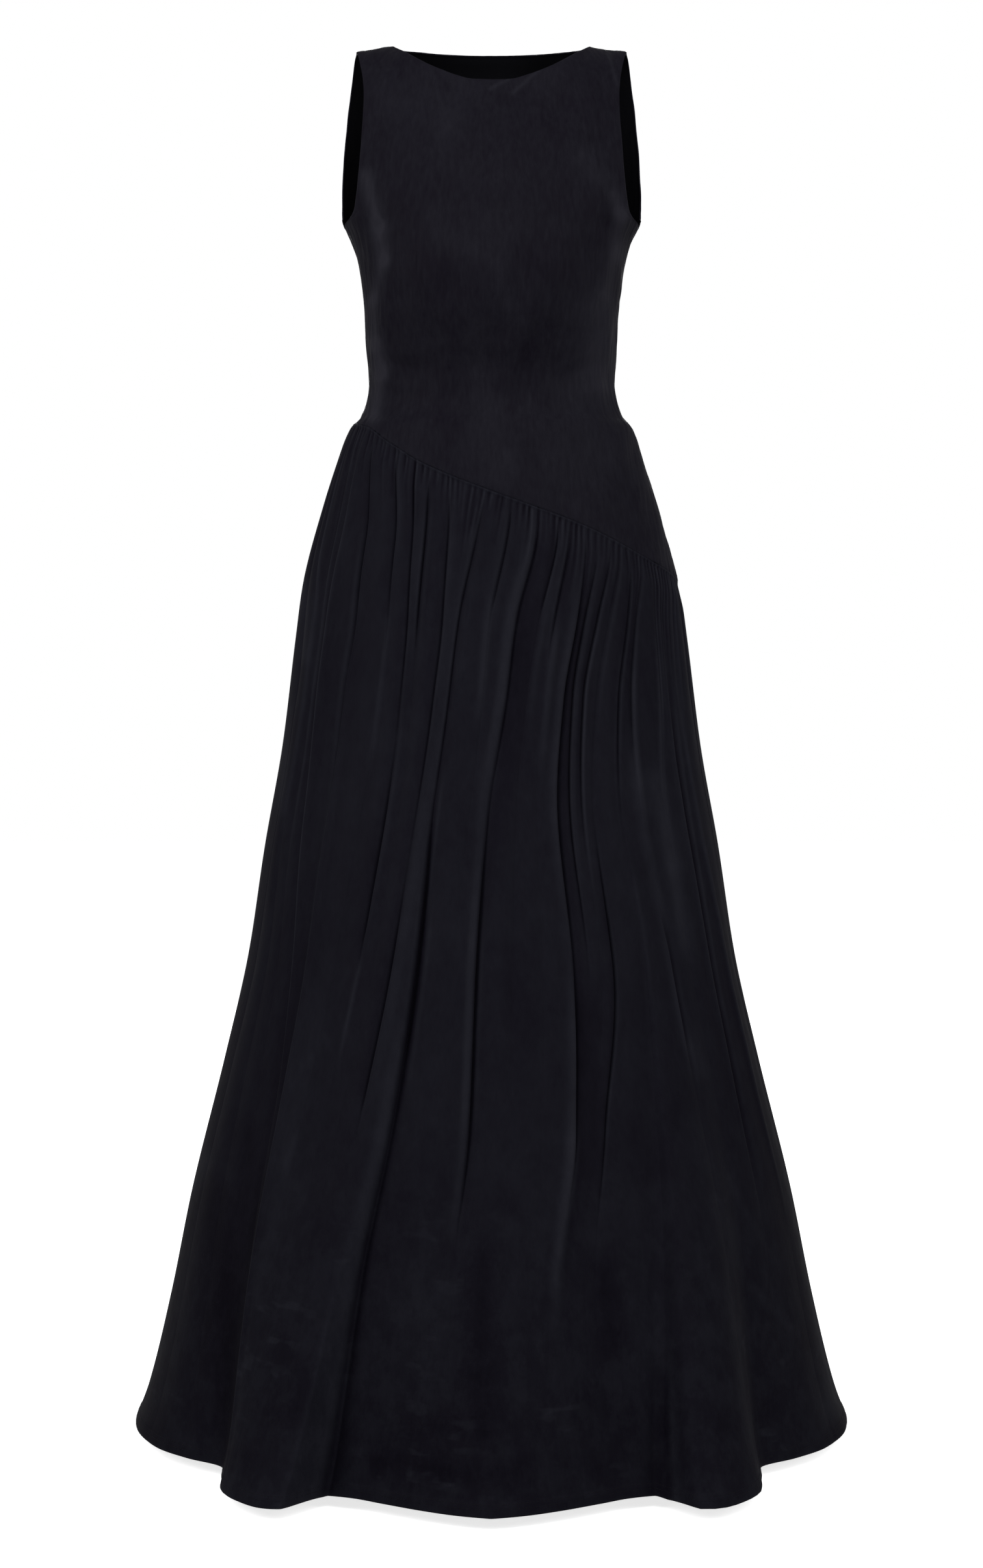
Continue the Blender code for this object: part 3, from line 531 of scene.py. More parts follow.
def depth(x, drop, side):
    deep = (DEEP_FRONT if side < 0 else DEEP_BACK)(drop)
    power = ROUND(drop)
    fallen = np.clip((ridge(x) + drop) / ARCH, 0, 1)
    arch = np.sqrt(1 - (1 - fallen) ** 2)
    share = np.clip(np.abs(x) / HALF(drop), 0, 1)
    return side * deep * arch * (1 - share ** power) ** (1 / power)


def body(angle, drop, side):
    """Points of the plain form at angles (degrees) from the panel's middle."""
    x = np.sin(np.radians(angle)) * HALF(drop)
    return np.stack([x, depth(x, drop, side), -drop + 0 * x], axis=-1)


def unit(v):
    return v / np.maximum(np.linalg.norm(v, axis=-1, keepdims=True), 1e-12)


def grid_normals(points, side):
    down = np.gradient(points, axis=0)
    across = np.gradient(points, axis=1)
    return unit(np.cross(down, across) * -side)


# ================================================================= mesh building
def shell(name, outer, normals, side, nap_and_painted_light, thick=CLOTH, step=2):
    """A closed cloth shell: a fine outer face, a coarser inner face and a rim between."""
    rows, cols = outer.shape[:2]
    assert (rows - 1) % step == 0 and (cols - 1) % step == 0, (name, rows, cols)
    inner = (outer - normals * thick)[::step, ::step]
    ir, ic = inner.shape[:2]
    verts = np.concatenate([outer.reshape(-1, 3), inner.reshape(-1, 3)])
    base = rows * cols
    a = (np.arange(rows - 1)[:, None] * cols + np.arange(cols - 1)[None, :]).ravel()
    quads = np.stack([a, a + cols, a + cols + 1, a + 1], axis=1)
    b = (np.arange(ir - 1)[:, None] * ic + np.arange(ic - 1)[None, :]).ravel() + base
    back = np.stack([b, b + 1, b + ic + 1, b + ic], axis=1)
    quads = np.concatenate([quads, back])
    rims = []
    for k in range(ic - 1):
        o = [k * step + j for j in range(step + 1)]
        rims.append([*o, base + k + 1, base + k])
        o = [(rows - 1) * cols + j for j in range(k * step + step, k * step - 1, -1)]
        rims.append([*o, base + (ir - 1) * ic + k, base + (ir - 1) * ic + k + 1])
    for k in range(ir - 1):
        o = [(k * step + j) * cols + cols - 1 for j in range(step + 1)]
        rims.append([*o, base + (k + 1) * ic + ic - 1, base + k * ic + ic - 1])
        o = [(k * step + j) * cols for j in range(step, -1, -1)]
        rims.append([*o, base + k * ic, base + (k + 1) * ic])
    sizes = np.concatenate([np.full(len(quads), 4), [len(r) for r in rims]])
    loops = np.concatenate([quads.ravel(), np.concatenate([np.array(r) for r in rims])])
    starts = np.concatenate([[0], np.cumsum(sizes)[:-1]])
    if side > 0:
        pieces_ = np.split(loops, starts[1:])
        loops = np.concatenate([p[::-1] for p in pieces_])
    mesh = bpy.data.meshes.new(name)
    mesh.vertices.add(len(verts))
    mesh.vertices.foreach_set("co", verts.astype(np.float32).ravel())
    mesh.loops.add(len(loops))
    mesh.loops.foreach_set("vertex_index", loops.astype(np.int32))
    mesh.polygons.add(len(sizes))
    mesh.polygons.foreach_set("loop_start", starts.astype(np.int32))
    # The wrong side of the cloth is the second material.
    wrong = np.zeros(len(sizes), dtype=np.int32)
    wrong[len(a):len(a) + len(b)] = 1
    mesh.polygons.foreach_set("material_index", wrong)
    mesh.update(calc_edges=True)
    # The outer face carries its nap with painted highlights and painted shade; the inner face a plain 1.
    lie_and_painted_light = mesh.attributes.new("nap_and_painted_light", "FLOAT", "POINT")
    lie_and_painted_light.data.foreach_set("value", np.concatenate([nap_and_painted_light.ravel(), np.full(ir * ic, 1.0)]).astype(np.float32))
    assert not mesh.validate(), name
    mesh.shade_smooth()
    ob = bpy.data.objects.new(name, mesh)
    bpy.context.scene.collection.objects.link(ob)
    return ob


def grid_mesh(name, points, closed_across=False, closed_down=False):
    """A mesh of quads through a grid of points, joined up where it closes."""
    rows, cols = points.shape[:2]
    faces = []
    for r in range(rows if closed_down else rows - 1):
        for c in range(cols if closed_across else cols - 1):
            r1, c1 = (r + 1) % rows, (c + 1) % cols
            faces.append((r * cols + c, r1 * cols + c, r1 * cols + c1, r * cols + c1))
    mesh = bpy.data.meshes.new(name)
    mesh.from_pydata(points.reshape(-1, 3).tolist(), [], faces)
    mesh.validate()
    mesh.shade_smooth()
    ob = bpy.data.objects.new(name, mesh)
    bpy.context.scene.collection.objects.link(ob)
    return ob


# ================================================================= skirt
def line_curves(lines):
    """For each fold line, its seam angle and its angle as a curve over the drop."""
    curves, tops = [], []
    for row in lines.values():
        start = float(SEAM_DROP(row[0]))
        knots = [(start, row[0])] + [(d, a) for d, a in zip(LINE_DROPS[1:], row[1:]) if d > start + 0.02]
        curves.append(Curve(np.array(knots), 1))
        tops.append(row[0])
    return curves, np.array(tops)


def fold_window(start, peak, end, at):
    up = smooth(start, start + 0.62 * (peak - start), at) ** 0.8
    down = 1 - smooth(peak + 0.25 * (end - peak), end, at)
    return up * down


def streak(x, drop, x0, d0, x1, d1, wide):
    """1 along the line between two points, fading softly to 0 beside it and past its ends."""
    dx, dd = x1 - x0, d1 - d0
    t = np.clip(((x - x0) * dx + (drop - d0) * dd) / (dx * dx + dd * dd), 0, 1)
    away = np.hypot(x - x0 - t * dx, drop - d0 - t * dd) / (wide * 1e-3)
    return np.exp(-away ** 2)


def skirt_rows():
    """Shares of the way down from the seam to the hem: close at the gathers and the hem."""
    top = np.array([0, 0.0006, 0.0012, 0.0018, 0.0025, 0.0034, 0.0046, 0.0062, 0.0082, 0.0108, 0.014, 0.018,
                    0.0225, 0.0275, 0.033, 0.039, 0.046, 0.054, 0.063])
    end = 1 - np.array([0.0, 0.0012, 0.0026, 0.0044, 0.0062, 0.0080, 0.0098, 0.0116, 0.0134, 0.0152, 0.0172,
                        0.0200, 0.0245, 0.0310])[::-1]
    count = 92
    middle = np.linspace(top[-1], end[0], count)[1:-1]
    rows = np.concatenate([top, middle, end])
    return rows if len(rows) % 2 else np.concatenate([top, np.linspace(top[-1], end[0], count + 1)[1:-1], end])


OFFSETS = np.array([0.0005, 0.0011, 0.0018, 0.0028, 0.0042, 0.0062, 0.0090])


def skirt_surface(lines, folds, bands, side, seed):
    """The skirt's outer surface, row by row, with the distances its folds are laid out by."""
    curves, tops = line_curves(lines)
    names = list(lines)
    count = len(tops)
    rng = np.random.default_rng(seed)
    between = 7
    rows = skirt_rows()
    dense_u = np.linspace(0, count - 1, (count - 1) * 40 + 1)
    top_dense = np.interp(dense_u, np.arange(count), tops)
    seam_dense = SEAM_DROP(top_dense)
    seam_marks = SEAM_DROP(tops)
    per = 2 * len(OFFSETS) + between
    # Fine gathers: between the lines, at uneven places, each of its own depth and length.
    gathers = []
    arc_top = body(top_dense, seam_dense, side)
    arc_top = np.concatenate([[0], np.cumsum(np.linalg.norm(np.diff(arc_top, axis=0), axis=1))])
    total = arc_top[-1]
    at = GATHER_STEP
    while at < total - GATHER_STEP:
        u = float(np.interp(at, arc_top, dense_u))
        longer = 1.8 if min(u, count - 1 - u) < 4 else 1.0
        gathers.append((u, rng.uniform(0.50, 1.40), longer * rng.uniform(0.024, 0.095), rng.uniform(0.8, 1.4)))
        at += GATHER_STEP * rng.uniform(0.62, 1.5)
    surface, cuts = [], []
    level_out = np.zeros((len(rows), (count - 1) * per + count))
    level_side = np.zeros_like(level_out)
    tone = np.zeros_like(level_out)
    angle_grid = np.zeros_like(level_out)
    drop_grid = np.zeros_like(level_out)
    end_grid = np.zeros_like(level_out)
    swell = rng.uniform(0.6, 1.25, count - 1)
    tilt = rng.uniform(-0.25, 0.25, count - 1)
    for r, v in enumerate(rows):
        mark_drop = seam_marks + (LENGTH - seam_marks) * v
        marks = np.array([curve(d) for curve, d in zip(curves, mark_drop)])
        ang = np.interp(dense_u, np.arange(count), marks)
        drop = seam_dense + (LENGTH - seam_dense) * v
        if v == 0:
            drop = SEAM_DROP(ang)
        pts = body(ang, drop, side)
        arc = np.concatenate([[0], np.cumsum(np.linalg.norm(np.diff(pts, axis=0), axis=1))])
        mark_arc = arc[::40]
        spots = [mark_arc[:1]]
        for k in range(count - 1):
            length = mark_arc[k + 1] - mark_arc[k]
            near = OFFSETS * min(1.0, 0.36 * length / OFFSETS[-1])
            rest = np.linspace(mark_arc[k] + near[-1], mark_arc[k + 1] - near[-1], between + 2)[1:-1]
            spots += [mark_arc[k] + near, rest, mark_arc[k + 1] - near[::-1], mark_arc[k + 1:k + 2]]
        spot = np.concatenate(spots)
        u = np.interp(spot, arc, dense_u)
        angle = np.interp(spot, arc, ang)
        here = np.interp(spot, arc, drop)
        angle_grid[r], drop_grid[r] = angle, here
        end_grid[r] = np.interp(u, np.arange(count), np.array([c(LENGTH) for c in curves]))
        out = np.zeros_like(spot)
        lean = np.zeros_like(spot)
        # Rounded swells between the lines.
        k = np.clip(u.astype(int), 0, count - 2)
        part = u - k
        length = (mark_arc[1:] - mark_arc[:-1])[k]
        plump = 0.085 * np.minimum(length, 0.045) * swell[k] * (1 - smooth(0.55, 1.30, here) * 0.80)
        plump *= smooth(0.0, 0.035, here - np.interp(u, dense_u, seam_dense))
        out += plump * np.sin(np.pi * np.clip(part + tilt[k] * part * (1 - part), 0, 1)) ** 0.8
        for line, start, peak, end, deep, left, right, way, lip, over in folds:
            q = spot - mark_arc[names.index(line)]
            power = fold_window(start, peak, end, here)
            if not power.any():
                continue
            # A trough is a thin tuck: painted shade in its core, a painted highlight on the edge where the
            # cloth turns over towards the lip, and painted shade on the cloth behind it. A ridge is a broad swell.
            tuck = deep > 0
            soft = 0.0005 if tuck else 0.003
            wide = np.where(q < 0, left, right) * 1e-3
            if tuck:
                wide = np.where(wide < 0.0035, 0.56 * wide, wide)
            fall = np.exp(-(np.sqrt(q * q + soft * soft) - soft) / wide)
            out -= deep * (0.62 if tuck else 1.0) * 1e-3 * power * fall
            if tuck:
                ahead = q * (way or 1)
                painted_crease_shade = -0.22 * np.exp(-(q / 0.0010) ** 2)
                if way >= 0:
                    lie_and_painted_light = 0.56 * np.exp(-((ahead - 0.0020) / 0.0011) ** 2) - 0.11 * np.exp(-((ahead + 0.0055) / 0.0050) ** 2)
                else:
                    lie_and_painted_light = (0.42 * np.exp(-((ahead - 0.0027) / 0.0017) ** 2) + 0.15 * np.exp(-((ahead - 0.0065) / 0.0045) ** 2)
                           - 0.24 * np.exp(-((ahead + 0.0052) / 0.0042) ** 2))
                tone[r] += power * (painted_crease_shade + lie_and_painted_light)
            if way:
                ahead = q * way
                near = np.where(ahead > 0, np.exp(-((ahead - 0.0032) / 0.0036) ** 2), 0.0)
                out += lip * 1e-3 * power * near
                lean -= way * over * 1e-3 * power * np.where(ahead > 0, np.exp(-((ahead - 0.0026) / 0.0026) ** 2), 0)
        # Each band raises or sinks the cloth and carries its painted highlight or painted shade.
        for line, start, peak, end, away, wide, high, nap_and_painted_light in bands:
            power = fold_window(start, peak, end, here)
            if power.any():
                q = (spot - mark_arc[names.index(line)] - away * 1e-3) / (wide * 1e-3)
                shape = np.exp(-np.abs(q) ** 2.4)
                out += high * 1e-3 * power * shape
                tone[r] += nap_and_painted_light * power * shape
        below = here - np.interp(u, dense_u, seam_dense)
        beads = np.zeros_like(spot)
        for g, strength, reach, wide in gathers:
            q = spot - np.interp(g, dense_u, arc)
            beads += np.exp(-(q / 0.0016) ** 2)
            if below.min() > reach:
                continue
            fade = np.clip(1 - below / reach, 0, 1) ** 1.2 * smooth(0.0010, 0.0045, below)
            out -= GATHER_DEPTH * strength * fade * np.exp(-(q / (0.0011 * wide)) ** 2)
            # Painted highlight just beside each gather and painted shade in it.
            tone[r] += strength * fade * (0.66 * np.exp(-((q - 0.0028) / 0.0013) ** 2) - 0.58 * np.exp(-(q / 0.0015) ** 2))
        # The seam itself stands up as a thin cord of folded cloth, beaded by the gathers.
        bead = np.exp(-((below - 0.0014) / 0.0012) ** 2)
        out += (0.0007 - 0.0004 * np.clip(beads, 0, 1)) * bead
        # Painted highlight along the cord, less where the gathers bead it.
        tone[r] += (0.50 - 0.50 * np.clip(beads, 0, 1)) * bead
        level_out[r], level_side[r] = out, lean
    base = body(angle_grid, drop_grid, side)
    normal = grid_normals(base, side)
    across = unit(np.gradient(base, axis=1))
    plan = np.maximum(np.hypot(base[..., 0], base[..., 1]), 1e-6)
    radial = np.stack([base[..., 0] / plan, base[..., 1] / plan, 0 * plan], axis=-1)
    weight = (np.maximum(0.0, drop_grid - 0.45) / (LENGTH - 0.45)) ** FLUTE_GROWTH
    half, deep = SECTIONS[-1, 1], SECTIONS[-1, 2 if side < 0 else 3]
    turn = np.radians(np.abs(end_grid))
    plain = 1 / np.hypot(np.sin(turn) / half, np.cos(turn) / deep)
    flute = (HEM_PLAN[side](np.abs(end_grid)) - plain) * weight
    # The skirt stands a little proud below the seam, and folds flatten towards the side seams.
    puff = PUFF * smooth(0.0, 0.03, drop_grid - drop_grid[0]) * np.sqrt(np.maximum(0.0, np.cos(np.radians(angle_grid))))
    calm = 1 - 0.75 * smooth(70, 90, np.abs(angle_grid))
    # Low on the sides the cloth is painted darker, more on the right: painted shade.
    tone -= np.where(angle_grid > 0, 0.50, 0.26) * smooth(60, 82, np.abs(angle_grid)) * smooth(0.72, 1.0, drop_grid)
    # Lighter and darker places, with painted sheen at the side edges.
    for x0, d0, x1, d1, wide, strength in SKIRT_SHEEN_AND_TONE[side]:
        tone += strength * streak(base[..., 0], drop_grid, x0, d0, x1, d1, wide)
    return (base + radial * flute[..., None] + normal * ((level_out * calm) + puff)[..., None]
            + across * (level_side * calm)[..., None]), tone


def finish_skirt(points, side):
    """Hem: the turned-up band is a little thicker, with a shallow groove at its stitching."""
    normal = grid_normals(points, side)
    edge = np.linalg.norm(np.diff(points, axis=0), axis=2)
    above = np.concatenate([np.cumsum(edge[::-1], axis=0)[::-1], np.zeros((1, points.shape[1]))])
    band = 0.0006 * (1 - smooth(0.0125, 0.0150, above))
    groove = 0.00045 * np.exp(-((above - 0.0128) / 0.0009) ** 2)
    rolled = 0.0007 * (1 - smooth(0.0, 0.0022, above))
    return points + normal * (band - groove - rolled)[..., None], above


# ================================================================= bodice
def panel_half(drop, side, share):
    edge = ARM_EDGE[side](drop)
    plain = TIP_HALF + (0.1547 - TIP_HALF) * smooth(0.0, ARMHOLE_DROP, drop)
    wide = plain + (edge - plain) * np.abs(share) ** 5
    return np.where(drop >= ARMHOLE_DROP, HALF(drop), wide)


def bodice_surface(side, cols, yoke, low):
    share = np.sin(np.radians(np.linspace(-90, 90, cols)))
    x_top = share * TIP_HALF
    neck = np.abs(x_top) < NECK_HALF
    drop_top = np.where(neck, NECK_EDGE[side](np.abs(x_top)), -ridge(x_top))
    angle = np.linspace(-90, 90, cols)
    drop_end = SEAM_DROP(angle)
    t = np.linspace(0, 1, yoke + 1)
    t = 0.12 * t + 0.88 * (0.5 - 0.5 * np.cos(np.pi * t))
    upper = drop_top[None, :] + (ARMHOLE_DROP - drop_top)[None, :] * t[:, None]
    t = np.linspace(0, 1, low + 1)[1:]
    lower = ARMHOLE_DROP + (drop_end - ARMHOLE_DROP)[None, :] * t[:, None]
    drop = np.concatenate([upper, lower])
    x = share[None, :] * panel_half(drop, side, share[None, :])
    x[0] = x_top
    return np.stack([x, depth(x, drop, side), -drop], axis=-1), drop


def waves(s, z, seed, count, across, along):
    """Smooth unevenness: a few sine waves of random direction; lengths in metres."""
    rng = np.random.default_rng(seed)
    total = np.zeros(np.broadcast(s, z).shape)
    for _ in range(count):
        ks = 2 * math.pi / rng.uniform(*across) * rng.choice((-1, 1))
        kz = 2 * math.pi / rng.uniform(*along)
        total += np.sin(ks * s + kz * z + rng.uniform(0, 2 * math.pi))
    return total / math.sqrt(count)


# Soft creases of the bodice: start and end (across from the middle, drop), height in mm
# (a ridge is positive), width in mm.
BODICE_CREASES = {
    -1: [
        (-0.006, 0.050, 0.010, 0.056, 0.7, 3.0),
        (0.024, 0.052, 0.044, 0.036, 0.8, 3.2),
        (-0.062, 0.034, -0.048, 0.052, -0.9, 3.0),
        (0.117, 0.004, 0.122, 0.022, 0.9, 2.4),
        (0.126, 0.006, 0.129, 0.026, -0.9, 2.2),
        (0.112, 0.008, 0.115, 0.020, -0.6, 2.2),
        (-0.120, 0.200, -0.085, 0.176, -1.2, 7.0),
        (-0.122, 0.214, -0.090, 0.200, 0.9, 6.0),
        (0.124, 0.200, 0.088, 0.178, -1.1, 7.0),
        (0.126, 0.216, 0.092, 0.204, 0.8, 6.0),
        (-0.116, 0.330, -0.070, 0.345, -0.9, 6.0),
        (-0.118, 0.352, -0.078, 0.362, 0.9, 6.0),
        (0.112, 0.335, 0.066, 0.356, -0.8, 6.0),
        (0.116, 0.360, 0.072, 0.380, 0.9, 7.0),
    ],
    1: [
        (-0.118, 0.205, -0.080, 0.182, -1.1, 7.0),
        (0.120, 0.208, 0.084, 0.184, -1.1, 7.0),
        (-0.100, 0.330, 0.010, 0.342, -1.2, 7.0),
        (-0.088, 0.350, 0.060, 0.356, 1.2, 8.0),
        (0.100, 0.340, 0.020, 0.352, -1.0, 7.0),
        (-0.060, 0.372, 0.070, 0.366, -1.0, 8.0),
    ],
}


def bodice_relief(points, drop, side, seed):
    """The close bodice's unevenness, its drag lines, its turned edges and its seam ditch."""
    rows, cols = points.shape[:2]
    arc = np.concatenate([np.zeros((rows, 1)), np.cumsum(np.linalg.norm(np.diff(points, axis=1), axis=2), axis=1)], axis=1)
    arc -= arc[:, cols // 2][:, None]
    edge = np.linalg.norm(np.diff(points, axis=0), axis=2)
    from_top = np.concatenate([np.zeros((1, cols)), np.cumsum(edge, axis=0)])
    to_seam = from_top[-1][None, :] - from_top
    out = 0.00022 * waves(arc, drop, seed, 14, (0.006, 0.016), (0.03, 0.12))
    out += 0.00055 * waves(arc, drop, seed + 1, 9, (0.03, 0.09), (0.05, 0.18))
    for x0, d0, x1, d1, high, wide in BODICE_CREASES[side]:
        dx, dd = x1 - x0, d1 - d0
        span = math.hypot(dx, dd)
        along = ((points[..., 0] - x0) * dx + (drop - d0) * dd) / span
        off = ((points[..., 0] - x0) * dd - (drop - d0) * dx) / span + 0.02 * span * np.sin(along / span * 3.1)
        fade = smooth(-0.35 * span, 0.25 * span, along) * (1 - smooth(0.70 * span, 1.35 * span, along))
        out += high * 1e-3 * fade * np.exp(-(off / (wide * 1e-3)) ** 2)
    # Edges turned in and stitched down: a flat band, a shallow groove, a rounded lip.
    side_edge = arc[:, -1][:, None] - np.abs(arc)
    open_side = drop < ARMHOLE_DROP
    rim = np.minimum(np.where(np.abs(points[0, :, 0]) < NECK_HALF, from_top, 1.0), np.where(open_side, side_edge, 1.0))
    calm = smooth(0.0, 0.02, rim)
    out = out * (0.35 + 0.65 * calm)
    out += 0.00035 * (1 - smooth(0.0070, 0.0090, rim)) - 0.0007 * (1 - smooth(0.0, 0.0020, rim))
    # The ditch at the waist seam, and small pulls where the skirt's gathers hang on it.
    pull = waves(arc, 0 * drop, seed + 2, 7, (0.007, 0.018), (1.0, 2.0))
    out += -0.0002 * (1 - smooth(0.0, 0.0018, to_seam)) + 0.0004 * pull * (1 - smooth(0.001, 0.022, to_seam))
    side_seam = np.where(open_side, 1.0, side_edge)
    out -= 0.0007 * (1 - smooth(0.0, 0.0020, side_seam))
    return out, to_seam


def make_bodice(name, side, seed):
    cols = 261
    yoke, low = ((76, 112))
    points, drop = bodice_surface(side, cols, yoke, low)
    normal = grid_normals(points, side)
    # Painted sheen down the sides, painted shade at the bust sides, painted light and shade beside drag lines, and
    # lighter and darker patches.
    nap_and_painted_light = 1.0 + sum((1.15 if strength > 0 else 0.45) * strength * streak(points[..., 0], drop, *row, wide)
                    for *row, wide, strength in BODICE_SHEEN_SHADE_AND_NAP[side])
    relief, to_seam = bodice_relief(points, drop, side, seed)
    # A painted highlight along the waist seam.
    nap_and_painted_light += 0.45 * (1 - smooth(0.0008, 0.0024, to_seam))
    points = points + normal * relief[..., None]
    return shell(name, points, grid_normals(points, side), side, nap_and_painted_light), points


def make_skirt(name, lines, folds, bands, side, seed):
    points, tone = skirt_surface(lines, folds, bands, side, seed)
    points, above = finish_skirt(points, side)
    cols = points.shape[1]
    if (cols - 1) % 2:
        mid = (points[:, cols // 2 - 1] + points[:, cols // 2]) / 2
        points = np.insert(points, cols // 2, mid, axis=1)
        tone = np.insert(tone, cols // 2, (tone[:, cols // 2 - 1] + tone[:, cols // 2]) / 2, axis=1)
        above = np.insert(above, cols // 2, (above[:, cols // 2 - 1] + above[:, cols // 2]) / 2, axis=1)
    # A painted highlight along the rolled hem edge.
    tone += 0.30 * (1 - smooth(0.001, 0.004, above))
    return shell(name, points, grid_normals(points, side), side, 1.0 + np.clip(tone, -0.62, 1.3)), points, above


# ================================================================= stitching
def stitch_row(points, above, side, height):
    """The line across a skirt at a height above its hem, as points and outward directions."""
    normal = grid_normals(points, side)
    line, out = [], []
    for c in range(points.shape[1]):
        order = above[:, c][::-1]
        place = np.interp(height, order, np.arange(len(order)))
        i = min(int(place), len(order) - 2)
        t = place - i
        p, n = points[::-1, c], normal[::-1, c]
        line.append(p[i] * (1 - t) + p[i + 1] * t)
        out.append(n[i] * (1 - t) + n[i + 1] * t)
    return np.array(line), unit(np.array(out))


def stitches(lines, length, gap, radius):
    """Rows of short thread stitches as one mesh: rounded, five-sided, dipping in at the ends."""
    verts, faces = [], []
    sides, rings = 5, ((0.0, 0.35, -0.9), (0.18, 0.95, 0.25), (0.5, 1.0, 0.55), (0.82, 0.95, 0.25), (1.0, 0.35, -0.9))
    turn = np.arange(sides) * 2 * math.pi / sides
    for line, out in lines:
        arc = np.concatenate([[0], np.cumsum(np.linalg.norm(np.diff(line, axis=0), axis=1))])
        start = gap
        while start + length < arc[-1]:
            base = len(verts)
            for share, thick, lift in rings:
                s = start + share * length
                centre = np.array([np.interp(s, arc, line[:, k]) for k in range(3)])
                up = unit(np.array([np.interp(s, arc, out[:, k]) for k in range(3)]))
                ahead = unit(np.array([np.interp(s + 1e-3, arc, line[:, k]) - np.interp(s - 1e-3, arc, line[:, k])
                                       for k in range(3)]))
                wide = unit(np.cross(up, ahead))
                for a in turn:
                    verts.append(centre + up * radius * (lift + thick * math.cos(a)) + wide * radius * thick * math.sin(a))
            for r in range(len(rings) - 1):
                for k in range(sides):
                    a, b = base + r * sides + k, base + r * sides + (k + 1) % sides
                    faces.append((a, b, b + sides, a + sides))
            faces.append(tuple(base + k for k in range(sides))[::-1])
            faces.append(tuple(base + (len(rings) - 1) * sides + k for k in range(sides)))
            start += length + gap
    mesh = bpy.data.meshes.new("hem_stitching")
    mesh.from_pydata([tuple(v) for v in verts], [], faces)
    mesh.validate()
    mesh.shade_smooth()
    ob = bpy.data.objects.new("hem_stitching", mesh)
    bpy.context.scene.collection.objects.link(ob)
    return ob


# ================================================================= materials
def node(tree, kind, **inputs):
    made = tree.nodes.new(kind)
    for key, value in inputs.items():
        if key in made.inputs.keys():
            made.inputs[key].default_value = value
        else:
            setattr(made, key, value)
    return made


SHADES = (
    # the nap with its painted highlights and painted shade, and the colour it shows
    (0.40, (0.0030, 0.0024, 0.0043)),
    (0.80, (0.0048, 0.0041, 0.0066)),
    (1.00, (0.0059, 0.0054, 0.0080)),
    (1.40, (0.0083, 0.0079, 0.0110)),
    (2.20, (0.0140, 0.0134, 0.0176)),
)


